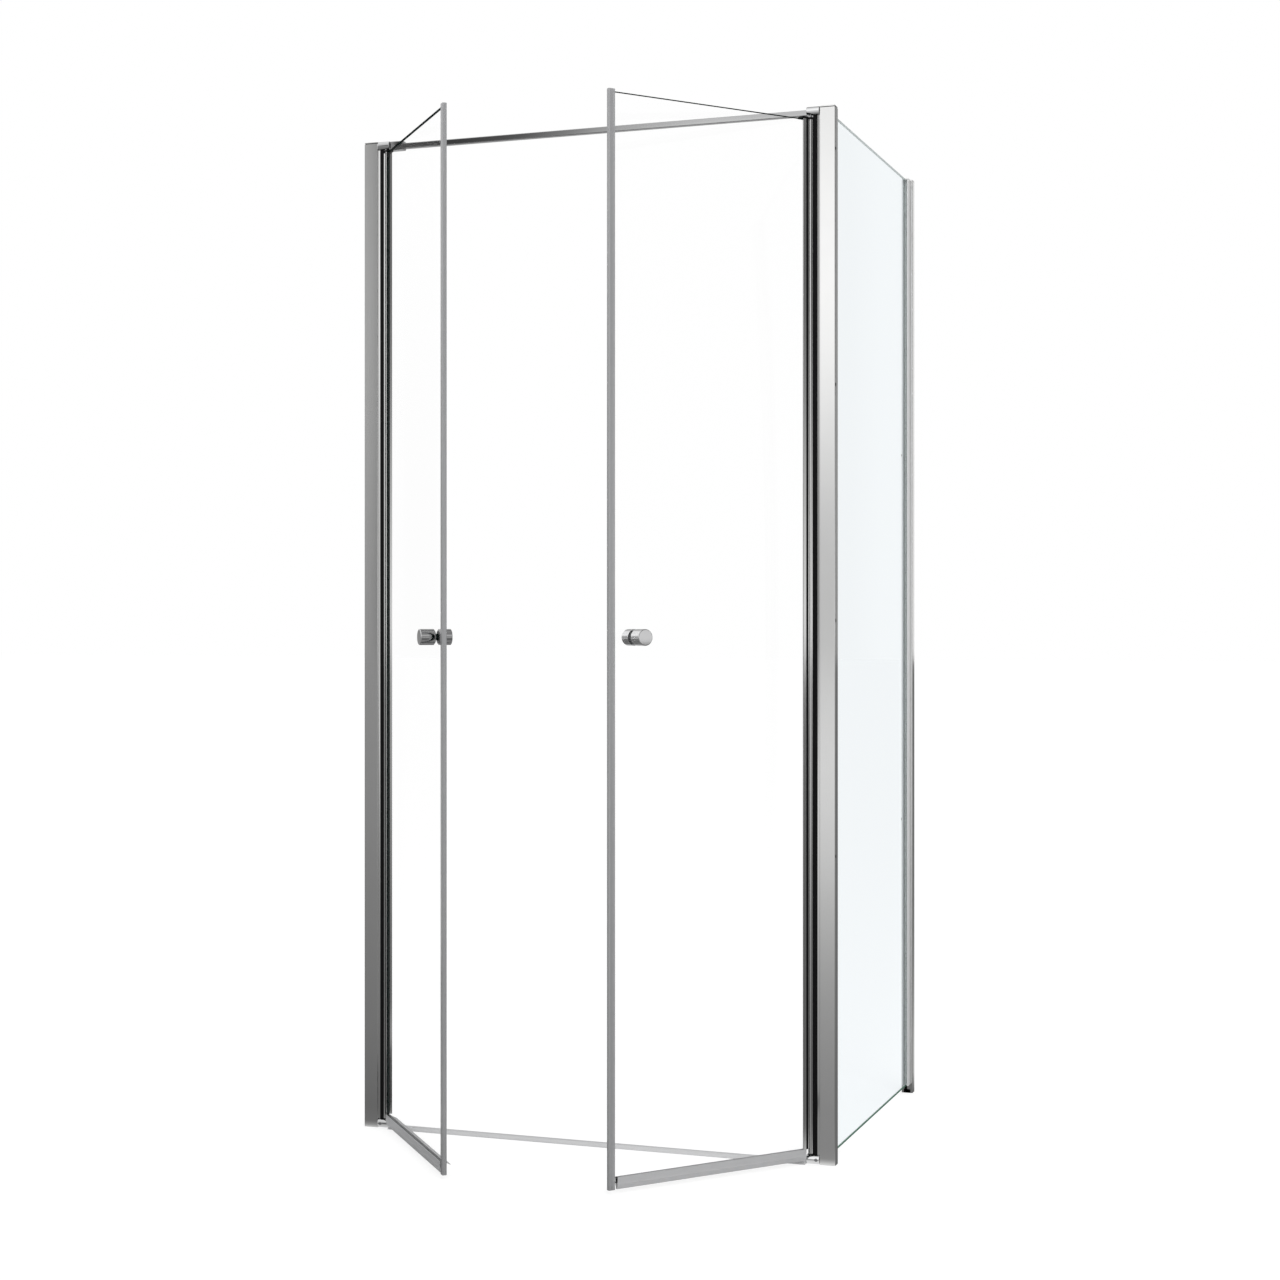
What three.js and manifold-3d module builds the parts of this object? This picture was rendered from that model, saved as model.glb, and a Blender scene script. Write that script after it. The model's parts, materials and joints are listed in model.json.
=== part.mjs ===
// Corner shower enclosure: two glass leaves that swing both ways on pivots between a wall frame
// and a corner post, with a fixed glass return panel that runs back to a second wall.
// Millimetres, +Z up, the shower behind +Y. The origin lies on the tray under the middle of the
// threshold, so the leaves hang in the plane Y = 0 when they are closed.
import * as THREE from 'three';
import { mergeVertices } from 'three/addons/utils/BufferGeometryUtils.js';
import Module from 'manifold-3d';

const wasm = await Module();
wasm.setup();

// Overall sizes
const frameHeight = 2000;
const frontWidth = 984;
const sideDepth = 700;
const restOpenDegrees = 50;

// Fits and running gaps
const seatGap = 0.3;
const runningGap = 0.35;
const meetingGap = 3;
const wallRelief = 0.5;
const cutOverrun = 2;
const joinOverlap = 0.6;

// Sheet glass and the soft profiles that hold it
const glassThickness = 6;
const gasketWall = 1.2;
const glazingWall = 0.6;
const sealWall = 1.2;
const glassGrip = 10;

// Wall frame and corner post
const profileWidth = 30;
const profileDepth = 22;
const profileWall = 1.6;
const capThickness = 3;
const capBevel = 0.6;
const lugWidth = 5;
const lugRecess = 1.4;
const lugDepth = 9.6;
const slotDepth = 3;
const slotWidth = 2.4;
const gasketLowShare = 0.45;
const gasketHighShare = 0.8;

// Pivot axis, measured from the inner edge and the front face of the frame
const axisInset = 18;
const axisSetback = 3;

// Wall channels
const channelWall = 1.4;
const channelReach = 22;
const wallHoleRadius = 2.5;
const wallHoleMargin = 200;
const wallHoleCount = 3;

// Fixed panel and its rear profiles
const panelInset = 12;
const panelFoot = 19;
const panelHeadroom = 13;
const grooveDepth = 12;
const clampWidth = 14;
const clampShown = 20;
const clampTucked = 15;
const rearChannelWidth = 24;
const rearChannelDepth = 20;
const rearChannelWall = 1.6;

// Pivot blocks and pins
const blockLength = 26;
const topBlockHeight = 17;
const topBlockDepth = 22;
const bottomBlockHeight = 18;
const bottomBlockDepth = 15;
const blockProud = 3;
const pinRadius = 2.2;
const pinBlockDepth = 12;
const pinBushDepth = 11;
const blockScrewInset = 6.5;

// Header bar over the doorway
const barHeight = 11;
const barDepth = 12;
const barCorner = 1.5;
const barRise = 1;
const barSetback = 2;
const barEntry = 4;
const bracketLength = 28;
const bracketHeight = 18;
const bracketDepth = 16;
const bracketDrop = 0.5;

// Threshold strip on the tray
const thresholdHeight = 7;
const thresholdDepth = 24;
const thresholdCrown = 10;
const thresholdLip = 1.5;

// Swinging leaf
const leafHeadroom = 2;
const leafFootGap = 1;
const tubeRadius = 5.4;
const tubeBore = 3.8;
const neckThickness = 3.2;
const clampStart = 9;
const clampWeb = 1.2;
const clampBite = 8;
const outerFlange = 1.2;
const innerFlange = 4.8;
const stileCapThickness = 4.2;
const stileCapReach = 23;
const bushWall = 1;
const spigotLength = 12;
const flangeThickness = 1.9;

// Soft seals on a leaf
const edgeSealNose = 8;
const dripSealHeight = 22;
const dripSealStart = 13;
const dripLipHalf = 2.2;
const dripShoulder = 3;
const finStart = 20;
const finReach = 12;
const finDrop = 6.4;
const finThickness = 1.3;
const finHeadroom = 0.4;
const magnetInset = 2;

// Knobs
const knobRadius = 15;
const knobNeckRadius = 9;
const knobNeckLength = 2;
const knobEdge = 1.4;
const knobHeight = 997;
const knobFromEdge = 59.5;
const outerKnobReach = 33;
const innerKnobReach = 28;
const washerRadius = 10;
const washerThickness = 1;
const studRadius = 3;
const studBoreDepth = 12;
const studShort = 2;
const sleeveWall = 2.4;

// Screws
const screwHeadRadius = 2.8;
const screwHeadHeight = 2;
const screwShankRadius = 1.5;
const screwHoleRadius = 1.8;
const accessHoleRadius = 3.3;
const postScrewLength = 10;
const postScrewTop = 82;
const postScrewFoot = 583;
const postScrewCount = 4;
const lockScrewLength = 7;
const lockHeadRadius = 3.2;
const lockHeadHeight = 1.6;
const lockScrewShares = [0.3, 0.7];
const lockScrewInset = 12;

// Facets of the round parts
const fineSides = 32;
const smallSides = 20;
const arcSteps = 8;

// Places worked out from the sizes above
const wallX = -frontWidth / 2;
const postX = frontWidth / 2;
const frontY = -axisSetback;
const backY = frontY + profileDepth;
const rearY = frontY + sideDepth;
const axisX = postX - profileWidth - axisInset;
const profileTop = frameHeight - capThickness - seatGap;
const glassHalf = glassThickness / 2;
const topBlockFoot = frameHeight - topBlockHeight;
const bracketTop = frameHeight - bracketDrop;
const bracketFoot = bracketTop - bracketHeight;
const barFoot = topBlockFoot + barRise;
const barFront = barSetback;
const lugFoot = bottomBlockHeight + seatGap;
const lugTop = topBlockFoot - seatGap;
const lugFront = frontY + lugRecess;
const slotY = lugFront + profileWall + slotWidth / 2;
const panelX = postX - panelInset;
const panelTop = frameHeight - panelHeadroom;
const grooveHalf = glassHalf + gasketWall + 2 * seatGap;
const clampBackY = rearY - rearChannelDepth + clampTucked;
const clampFrontY = rearY - rearChannelDepth - clampShown;
const leafTop = Math.min(bracketFoot, topBlockFoot) - leafHeadroom;
const leafFoot = thresholdHeight + leafFootGap;
const leafReach = axisX - meetingGap / 2;
const leafGlassTop = leafTop - stileCapThickness - seatGap;
const leafGlassEnd = leafReach - edgeSealNose;
const leafGlassStart = clampStart + clampWeb + glazingWall + 2 * seatGap;
const dripSealTop = leafFoot + dripSealHeight;
const leafGlassFoot = dripSealTop - glassGrip + seatGap;
const clampFoot = dripSealTop + seatGap;
const clampEnd = clampStart + clampBite;
const clampGroove = glassHalf + glazingWall + 2 * seatGap;
const clampOuterY = -(clampGroove + outerFlange);
const clampInnerY = clampGroove + innerFlange;
const tubeFoot = bottomBlockHeight + 2 * seatGap + flangeThickness;
const sealHalf = glassHalf + seatGap + sealWall;
const bushBore = pinRadius + seatGap;
const bushRadius = bushBore + bushWall;
const knobSeat = glassHalf + washerThickness + 2 * seatGap;
const knobS = leafReach - knobFromEdge;
const glassHoleRadius = studRadius + 2 * seatGap + sleeveWall;
const studHalf = knobSeat + studBoreDepth - studShort;

// Finishes
const finish = (color, roughness, metalness, extra = {}) =>
  new THREE.MeshStandardMaterial({ color, roughness, metalness, ...extra });
const polishedAluminium = finish(0xc9cbcc, 0.22, 1);
const chrome = finish(0xd9dbdc, 0.08, 1);
const steel = finish(0xa9abad, 0.3, 1);
const clearGlass = finish(0xe8f3f1, 0.03, 0, { transparent: true, opacity: 0.25 });
const blackRubber = finish(0x0b0c0c, 0.6, 0);
const blackPlastic = finish(0x151616, 0.4, 0);
const softSeal = finish(0xb9babc, 0.35, 0, { transparent: true, opacity: 0.7 });
const clearPlastic = finish(0xd6d8d8, 0.3, 0, { transparent: true, opacity: 0.6 });
const magnetCore = finish(0x3a3b3c, 0.7, 0);

// Turns a closed geometry into a solid that can be cut and joined, and back again
function solidOf(geometry) {
  const bare = geometry.clone();
  bare.deleteAttribute('normal');
  bare.deleteAttribute('uv');
  const merged = mergeVertices(bare);
  return new wasm.Manifold(new wasm.Mesh({
    numProp: 3,
    vertProperties: new Float32Array(merged.attributes.position.array),
    triVerts: new Uint32Array(merged.index.array),
  }));
}

function geometryOf(solid) {
  const mesh = solid.getMesh();
  const geometry = new THREE.BufferGeometry();
  geometry.setAttribute('position', new THREE.BufferAttribute(mesh.vertProperties, 3));
  geometry.setIndex(new THREE.BufferAttribute(mesh.triVerts, 1));
  return geometry;
}

const joined = (first, ...rest) =>
  geometryOf(rest.reduce((sum, piece) => sum.add(solidOf(piece)), solidOf(first)));
const cut = (body, ...tools) =>
  geometryOf(tools.reduce((rest, tool) => rest.subtract(solidOf(tool)), solidOf(body)));

// Closed outline through points given as pairs, put in counter-clockwise order
function outline(points) {
  const corners = points.map(([a, b]) => new THREE.Vector2(a, b));
  return new THREE.Shape(THREE.ShapeUtils.isClockWise(corners) ? corners.reverse() : corners);
}

// A plan outline raised between two heights
function upright(shape, low, high) {
  const geometry = new THREE.ExtrudeGeometry(shape, {
    depth: high - low, bevelEnabled: false, curveSegments: arcSteps,
  });
  return geometry.translate(0, 0, low);
}

// The same with chambers that run right through it
function hollow(shape, chambers, low, high) {
  return cut(
    upright(shape, low, high),
    ...chambers.map((points) => upright(outline(points), low - cutOverrun, high + cutOverrun)),
  );
}

// A section drawn in Y and Z, drawn out along X
function alongX(shape, start, end) {
  const geometry = new THREE.ExtrudeGeometry(shape, {
    depth: end - start, bevelEnabled: false, curveSegments: arcSteps,
  });
  const turn = new THREE.Matrix4().makeBasis(
    new THREE.Vector3(0, 1, 0), new THREE.Vector3(0, 0, 1), new THREE.Vector3(1, 0, 0),
  );
  return geometry.applyMatrix4(turn).translate(start, 0, 0);
}

function block(x0, x1, y0, y1, z0, z1) {
  const geometry = new THREE.BoxGeometry(Math.abs(x1 - x0), Math.abs(y1 - y0), Math.abs(z1 - z0));
  return geometry.translate((x0 + x1) / 2, (y0 + y1) / 2, (z0 + z1) / 2);
}

function rod(radius, sides, length) {
  return new THREE.CylinderGeometry(radius, radius, length, sides);
}

function rodZ(radius, x, y, z0, z1, sides = smallSides) {
  return rod(radius, sides, z1 - z0).rotateX(Math.PI / 2).translate(x, y, (z0 + z1) / 2);
}

function rodY(radius, x, y0, y1, z, sides = smallSides) {
  return rod(radius, sides, Math.abs(y1 - y0)).translate(x, (y0 + y1) / 2, z);
}

function rodX(radius, x0, x1, y, z, sides = smallSides) {
  return rod(radius, sides, Math.abs(x1 - x0)).rotateZ(Math.PI / 2).translate((x0 + x1) / 2, y, z);
}

// A turned part about the Y axis, from pairs of radius and place along the axis
function turned(points, sides = fineSides) {
  return new THREE.LatheGeometry(points.map(([r, y]) => new THREE.Vector2(r, y)), sides);
}

const enclosure = new THREE.Group();

function add(parent, name, geometry, material) {
  const mesh = new THREE.Mesh(geometry, material);
  mesh.name = name;
  parent.add(mesh);
  return mesh;
}

// Heights at which screws or holes repeat evenly between two margins
function evenly(low, high, count) {
  return Array.from({ length: count }, (_, i) => low + ((high - low) * i) / (count - 1));
}

// Both sides of the front share their sections: side -1 is the wall frame, side 1 the corner post,
// and inward(side, d) is the X that lies d in from the outer face of that side.
const inward = (side, distance) => side * (postX - distance);

// Narrow lug beside the hinge tube, with the slot that holds the side gasket
function lug(side) {
  const rootX = inward(side, profileWidth - joinOverlap);
  const endX = inward(side, profileWidth + lugWidth);
  const slotX = inward(side, profileWidth + lugWidth - slotDepth);
  const pastX = inward(side, profileWidth + lugWidth + cutOverrun);
  const slotLow = slotY - slotWidth / 2;
  const slotHigh = slotY + slotWidth / 2;
  return cut(
    block(rootX, endX, lugFront, lugFront + lugDepth, lugFoot, lugTop),
    block(slotX, pastX, slotLow, slotHigh, lugFoot - cutOverrun, lugTop + cutOverrun),
  );
}

// Black gasket between a frame lug and the turning hinge tube
function sideGasket(side) {
  const at = (distance, y) => [inward(side, distance), y];
  const contact = tubeRadius + runningGap;
  const lugEnd = profileWidth + lugWidth;
  const axis = profileWidth + axisInset;
  const rootHalf = slotWidth / 2 - seatGap;
  const lowY = -contact * gasketLowShare;
  const highY = contact * gasketHighShare;
  const points = [
    at(lugEnd - slotDepth + seatGap, slotY - rootHalf),
    at(lugEnd - slotDepth + seatGap, slotY + rootHalf),
    at(lugEnd + seatGap, slotY + rootHalf),
    at(lugEnd + seatGap, highY),
  ];
  for (let i = 0; i <= arcSteps; i += 1) {
    const y = highY + ((lowY - highY) * i) / arcSteps;
    points.push(at(axis - Math.sqrt(contact * contact - y * y), y));
  }
  points.push(at(lugEnd + seatGap, lowY));
  points.push(at(lugEnd + seatGap, slotY - rootHalf));
  return upright(outline(points), lugFoot, lugTop);
}

// Flat cap on the top end of a frame profile
function profileCap(side) {
  const startX = Math.min(inward(side, wallRelief), inward(side, profileWidth));
  const endX = Math.max(inward(side, wallRelief), inward(side, profileWidth));
  const shape = outline([
    [startX + capBevel, frontY + capBevel],
    [endX - capBevel, frontY + capBevel],
    [endX - capBevel, backY - capBevel],
    [startX + capBevel, backY - capBevel],
  ]);
  const geometry = new THREE.ExtrudeGeometry(shape, {
    depth: capThickness - 2 * capBevel, bevelThickness: capBevel, bevelSize: capBevel, bevelSegments: 1,
  });
  return geometry.translate(0, 0, frameHeight - capThickness + capBevel);
}

// Wall frame: a C-section that slides over the wall channel
const wallHoleHeights = evenly(wallHoleMargin, frameHeight - wallHoleMargin, wallHoleCount);
const lockScrewHeights = lockScrewShares.map((share) => share * frameHeight);

function wallFrame() {
  const open = wallX + wallRelief;
  const inner = wallX + profileWidth;
  const section = outline([
    [open, frontY],
    [inner, frontY],
    [inner, backY],
    [open, backY],
    [open, backY - profileWall],
    [inner - profileWall, backY - profileWall],
    [inner - profileWall, frontY + profileWall],
    [open, frontY + profileWall],
  ]);
  const body = joined(upright(section, 0, profileTop), lug(-1));
  const holes = lockScrewHeights.map((z) => rodY(
    screwHoleRadius, wallX + lockScrewInset, backY - profileWall - cutOverrun, backY + cutOverrun, z,
  ));
  add(enclosure, 'left_frame_profile', cut(body, ...holes), polishedAluminium);
}

function wallChannel() {
  const low = frontY + profileWall + seatGap;
  const high = backY - profileWall - seatGap;
  const end = wallX + channelReach;
  const section = outline([
    [wallX, low],
    [end, low],
    [end, low + channelWall],
    [wallX + channelWall, low + channelWall],
    [wallX + channelWall, high - channelWall],
    [end, high - channelWall],
    [end, high],
    [wallX, high],
  ]);
  const middle = (low + high) / 2;
  const holes = wallHoleHeights.map((z) => rodX(
    wallHoleRadius, wallX - cutOverrun, wallX + channelWall + cutOverrun, middle, z,
  ));
  const lockHoles = lockScrewHeights.map((z) => rodY(
    screwHoleRadius, wallX + lockScrewInset, high - channelWall - cutOverrun, high + cutOverrun, z,
  ));
  add(enclosure, 'left_wall_channel', cut(upright(section, 0, profileTop), ...holes, ...lockHoles), steel);
}

// Round-headed screw along Y: the head's underside at headY, the shank towards -Y or +Y
function screwY(x, headY, z, headSign, headRadius, headHeight, length) {
  return joined(
    rodY(headRadius, x, headY, headY + headSign * headHeight, z),
    rodY(screwShankRadius, x, headY + headSign * joinOverlap, headY - headSign * length, z),
  );
}

function screwX(headX, y, z, headSign, headRadius, headHeight, length) {
  return joined(
    rodX(headRadius, headX, headX + headSign * headHeight, y, z),
    rodX(screwShankRadius, headX + headSign * joinOverlap, headX - headSign * length, y, z),
  );
}

function leftLockScrews() {
  lockScrewHeights.forEach((z, i) => {
    const geometry = screwY(
      wallX + lockScrewInset, backY + seatGap, z, 1, lockHeadRadius, lockHeadHeight, lockScrewLength,
    );
    add(enclosure, `left_lock_screw_${i + 1}`, geometry, steel);
  });
}

// Corner post: a closed box with a groove at the back for the fixed panel
const postGrooveFloor = backY - grooveDepth;
const postScrewHeights = evenly(postScrewFoot, frameHeight - postScrewTop, postScrewCount);
const postRibOuter = panelInset - grooveHalf - profileWall;
const postScrewY = (frontY + profileWall + postGrooveFloor - profileWall) / 2;

function cornerPost() {
  const x = (distance) => postX - distance;
  const innerWall = profileWidth - profileWall;
  const frontInside = frontY + profileWall;
  const backInside = backY - profileWall;
  const grooveNear = panelInset - grooveHalf;
  const grooveFar = panelInset + grooveHalf;
  const shape = outline([
    [x(0), frontY],
    [x(0), backY],
    [x(grooveNear), backY],
    [x(grooveNear), postGrooveFloor],
    [x(grooveFar), postGrooveFloor],
    [x(grooveFar), backY],
    [x(profileWidth), backY],
    [x(profileWidth), frontY],
  ]);
  const screwChamber = [
    [x(profileWall), frontInside],
    [x(profileWall), backInside],
    [x(postRibOuter), backInside],
    [x(postRibOuter), frontInside],
  ];
  const mainChamber = [
    [x(grooveNear), frontInside],
    [x(grooveNear), postGrooveFloor - profileWall],
    [x(grooveFar + profileWall), postGrooveFloor - profileWall],
    [x(grooveFar + profileWall), backInside],
    [x(innerWall), backInside],
    [x(innerWall), frontInside],
  ];
  const body = joined(hollow(shape, [screwChamber, mainChamber], 0, profileTop), lug(1));
  const ribEnd = x(grooveNear) - cutOverrun;
  const accessEnd = x(profileWall) - joinOverlap;
  const holes = postScrewHeights.flatMap((z) => [
    rodX(accessHoleRadius, accessEnd, postX + cutOverrun, postScrewY, z),
    rodX(screwHoleRadius, ribEnd, x(postRibOuter) + joinOverlap, postScrewY, z),
  ]);
  add(enclosure, 'corner_post', cut(body, ...holes), polishedAluminium);
}

function postScrews() {
  const headX = postX - postRibOuter + seatGap;
  postScrewHeights.forEach((z, i) => {
    const geometry = screwX(
      headX, postScrewY, z, 1, screwHeadRadius, screwHeadHeight, postScrewLength,
    );
    add(enclosure, `post_screw_${i + 1}`, geometry, steel);
  });
}

// Pivot blocks: a half-round nose, flat behind, lying against the inner face of the frame
function blockSection(foot, height, depth) {
  const radius = height / 2;
  const noseY = frontY - blockProud + radius;
  const shape = new THREE.Shape();
  shape.moveTo(frontY - blockProud + depth, foot);
  shape.lineTo(frontY - blockProud + depth, foot + height);
  shape.lineTo(noseY, foot + height);
  shape.absarc(noseY, foot + radius, radius, Math.PI / 2, 1.5 * Math.PI, false);
  shape.closePath();
  return shape;
}

function blockSpan(side) {
  const near = inward(side, profileWidth + seatGap);
  const far = inward(side, profileWidth + blockLength);
  return [Math.min(near, far), Math.max(near, far)];
}

function topPivotBlock(side, label) {
  const [start, end] = blockSpan(side);
  const body = alongX(blockSection(topBlockFoot, topBlockHeight, topBlockDepth), start, end);
  const mouth = inward(side, profileWidth + blockLength + cutOverrun);
  const floor = inward(side, profileWidth + blockLength - barEntry - seatGap);
  const pocket = block(
    mouth, floor,
    barFront - seatGap, barFront + barDepth + seatGap,
    barFoot - seatGap, barFoot + barHeight + seatGap,
  );
  const bore = rodZ(
    bushBore, side * axisX, 0, topBlockFoot - cutOverrun, topBlockFoot + pinBlockDepth + seatGap,
  );
  add(enclosure, `${label}_top_pivot_block`, cut(body, pocket, bore), chrome);
}

function bottomPivotBlock(side, label) {
  const [start, end] = blockSpan(side);
  const body = alongX(blockSection(0, bottomBlockHeight, bottomBlockDepth), start, end);
  const bore = rodZ(
    bushBore, side * axisX, 0,
    bottomBlockHeight - pinBlockDepth - seatGap, bottomBlockHeight + cutOverrun,
  );
  const screwX0 = inward(side, profileWidth + blockScrewInset);
  const screwZ = bottomBlockHeight / 2;
  const noseY = frontY - blockProud;
  const seatY = noseY + screwHeadHeight + 2 * seatGap;
  const backFace = noseY + bottomBlockDepth;
  const recess = rodY(screwHeadRadius + seatGap, screwX0, noseY - cutOverrun, seatY, screwZ);
  const hole = rodY(screwHoleRadius, screwX0, noseY, backFace + cutOverrun, screwZ);
  add(enclosure, `${label}_bottom_pivot_block`, cut(body, bore, recess, hole), chrome);
  const screw = screwY(
    screwX0, seatY - seatGap, screwZ, -1, screwHeadRadius, screwHeadHeight, backFace - seatY,
  );
  add(enclosure, `${label}_block_screw`, screw, steel);
}

function pivotPins(side, label) {
  const topPin = rodZ(
    pinRadius, side * axisX, 0, leafTop - pinBushDepth, topBlockFoot + pinBlockDepth,
  );
  const bottomPin = rodZ(
    pinRadius, side * axisX, 0, bottomBlockHeight - pinBlockDepth, bottomBlockHeight + pinBushDepth,
  );
  add(enclosure, `${label}_top_pivot_pin`, topPin, steel);
  add(enclosure, `${label}_bottom_pivot_pin`, bottomPin, steel);
}

// Header bar, let into both top blocks, with a sleeve bracket at the wall end
function roundedSection(y0, z0, depth, height, corner) {
  const shape = new THREE.Shape();
  const y1 = y0 + depth;
  const z1 = z0 + height;
  shape.moveTo(y0 + corner, z0);
  shape.lineTo(y1 - corner, z0);
  shape.absarc(y1 - corner, z0 + corner, corner, -Math.PI / 2, 0, false);
  shape.lineTo(y1, z1 - corner);
  shape.absarc(y1 - corner, z1 - corner, corner, 0, Math.PI / 2, false);
  shape.lineTo(y0 + corner, z1);
  shape.absarc(y0 + corner, z1 - corner, corner, Math.PI / 2, Math.PI, false);
  shape.lineTo(y0, z0 + corner);
  shape.absarc(y0 + corner, z0 + corner, corner, Math.PI, 1.5 * Math.PI, false);
  return shape;
}

function headerBar() {
  const barEnd = postX - profileWidth - blockLength + barEntry;
  const bar = alongX(roundedSection(barFront, barFoot, barDepth, barHeight, barCorner), -barEnd, barEnd);
  add(enclosure, 'header_bar', bar, polishedAluminium);

  const start = wallX + profileWidth + blockLength + seatGap;
  const end = start + bracketLength;
  const side = (bracketDepth - barDepth) / 2;
  const sleeve = alongX(
    roundedSection(barFront - side, bracketFoot, bracketDepth, bracketHeight, barCorner), start, end,
  );
  const passage = block(
    start - cutOverrun, end + cutOverrun,
    barFront - seatGap, barFront + barDepth + seatGap,
    barFoot - seatGap, barFoot + barHeight + seatGap,
  );
  add(enclosure, 'header_bar_bracket', cut(sleeve, passage), polishedAluminium);
}

// Low threshold between the bottom blocks, sloping to both sides of its crown
function threshold() {
  const half = thresholdDepth / 2;
  const crown = thresholdCrown / 2;
  const end = postX - profileWidth - blockLength - seatGap;
  const section = outline([
    [-half, 0],
    [half, 0],
    [half, thresholdLip],
    [crown, thresholdHeight],
    [-crown, thresholdHeight],
    [-half, thresholdLip],
  ]);
  add(enclosure, 'threshold_strip', alongX(section, -end, end), polishedAluminium);
}

// Fixed panel with a gasket in the post's groove and one in the rear clamp's groove
const gasketHalf = grooveHalf - seatGap;
const gasketSlot = gasketHalf - gasketWall;
const clampGrooveFloor = clampFrontY + grooveDepth;

function panelGasket(name, mouthY, floorY) {
  const into = Math.sign(floorY - mouthY);
  const baseY = floorY - into * seatGap;
  const slotY0 = baseY - into * gasketWall;
  const section = outline([
    [panelX - gasketHalf, mouthY],
    [panelX - gasketHalf, baseY],
    [panelX + gasketHalf, baseY],
    [panelX + gasketHalf, mouthY],
    [panelX + gasketSlot, mouthY],
    [panelX + gasketSlot, slotY0],
    [panelX - gasketSlot, slotY0],
    [panelX - gasketSlot, mouthY],
  ]);
  add(enclosure, name, upright(section, panelFoot, panelTop), blackRubber);
}

function fixedPanel() {
  const edge = 2 * seatGap + gasketWall;
  const glass = block(
    panelX - glassHalf, panelX + glassHalf,
    postGrooveFloor + edge, clampGrooveFloor - edge,
    panelFoot, panelTop,
  );
  add(enclosure, 'side_glass', glass, clearGlass);
  panelGasket('side_glass_front_gasket', backY, postGrooveFloor);
  panelGasket('side_glass_rear_gasket', clampFrontY, clampGrooveFloor);
}

const rearLockY = rearY - rearChannelDepth + clampTucked / 2;
const rearLockHeights = lockScrewShares.map((share) => share * panelTop);

function rearClamp() {
  const half = clampWidth / 2;
  const shape = outline([
    [panelX - half, clampFrontY],
    [panelX - grooveHalf, clampFrontY],
    [panelX - grooveHalf, clampGrooveFloor],
    [panelX + grooveHalf, clampGrooveFloor],
    [panelX + grooveHalf, clampFrontY],
    [panelX + half, clampFrontY],
    [panelX + half, clampBackY],
    [panelX - half, clampBackY],
  ]);
  const chamber = [
    [panelX - half + profileWall, clampGrooveFloor + profileWall],
    [panelX + half - profileWall, clampGrooveFloor + profileWall],
    [panelX + half - profileWall, clampBackY - profileWall],
    [panelX - half + profileWall, clampBackY - profileWall],
  ];
  const holes = rearLockHeights.map((z) => rodX(
    screwHoleRadius, panelX - half - cutOverrun, panelX - half + profileWall + cutOverrun, rearLockY, z,
  ));
  const body = cut(hollow(shape, [chamber], panelFoot, panelTop), ...holes);
  add(enclosure, 'side_clamp_profile', body, polishedAluminium);
}

function rearChannel() {
  const half = rearChannelWidth / 2;
  const mouth = clampWidth / 2 + seatGap;
  const front = rearY - rearChannelDepth;
  const section = outline([
    [panelX - half, front],
    [panelX - mouth, front],
    [panelX - mouth, front + rearChannelWall],
    [panelX - half + rearChannelWall, front + rearChannelWall],
    [panelX - half + rearChannelWall, rearY - rearChannelWall],
    [panelX + half - rearChannelWall, rearY - rearChannelWall],
    [panelX + half - rearChannelWall, front + rearChannelWall],
    [panelX + mouth, front + rearChannelWall],
    [panelX + mouth, front],
    [panelX + half, front],
    [panelX + half, rearY],
    [panelX - half, rearY],
  ]);
  const wallHoles = wallHoleHeights.map((z) => rodY(
    wallHoleRadius, panelX, rearY - rearChannelWall - cutOverrun, rearY + cutOverrun, z,
  ));
  const lockHoles = rearLockHeights.map((z) => rodX(
    screwHoleRadius, panelX - half - cutOverrun, panelX - half + rearChannelWall + cutOverrun, rearLockY, z,
  ));
  const body = cut(upright(section, 0, panelTop), ...wallHoles, ...lockHoles);
  add(enclosure, 'rear_wall_channel', body, polishedAluminium);

  rearLockHeights.forEach((z, i) => {
    const geometry = screwX(
      panelX - half - seatGap, rearLockY, z, -1, lockHeadRadius, lockHeadHeight, lockScrewLength,
    );
    add(enclosure, `rear_lock_screw_${i + 1}`, geometry, steel);
  });
}

function rearCap() {
  const half = rearChannelWidth / 2;
  const clamp = clampWidth / 2;
  const front = rearY - rearChannelDepth;
  const shape = outline([
    [panelX - clamp, clampFrontY],
    [panelX + clamp, clampFrontY],
    [panelX + clamp, front],
    [panelX + half, front],
    [panelX + half, rearY - wallRelief],
    [panelX - half, rearY - wallRelief],
    [panelX - half, front],
    [panelX - clamp, front],
  ]);
  const foot = panelTop + seatGap;
  add(enclosure, 'rear_profile_cap', upright(shape, foot, foot + capThickness), polishedAluminium);
}

// A leaf is drawn closed about its pivot axis: hand 1 reaches towards +X, hand -1 towards -X,
// and the inside of the shower is at +Y. Its group then stands at the axis, turned open.
function stile(hand) {
  const s = (distance) => hand * distance;
  const clampSection = outline([
    [s(clampStart), clampOuterY],
    [s(clampEnd), clampOuterY],
    [s(clampEnd), -clampGroove],
    [s(clampStart + clampWeb), -clampGroove],
    [s(clampStart + clampWeb), clampGroove],
    [s(clampEnd), clampGroove],
    [s(clampEnd), clampInnerY],
    [s(clampStart), clampInnerY],
  ]);
  const neck = block(
    s(tubeRadius - joinOverlap), s(clampStart + joinOverlap),
    -neckThickness / 2, neckThickness / 2, clampFoot, leafGlassTop,
  );
  const body = joined(
    rodZ(tubeRadius, 0, 0, tubeFoot, leafGlassTop, fineSides),
    neck,
    upright(clampSection, clampFoot, leafGlassTop),
  );
  return cut(body, rodZ(tubeBore, 0, 0, tubeFoot - cutOverrun, leafGlassTop + cutOverrun));
}

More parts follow.
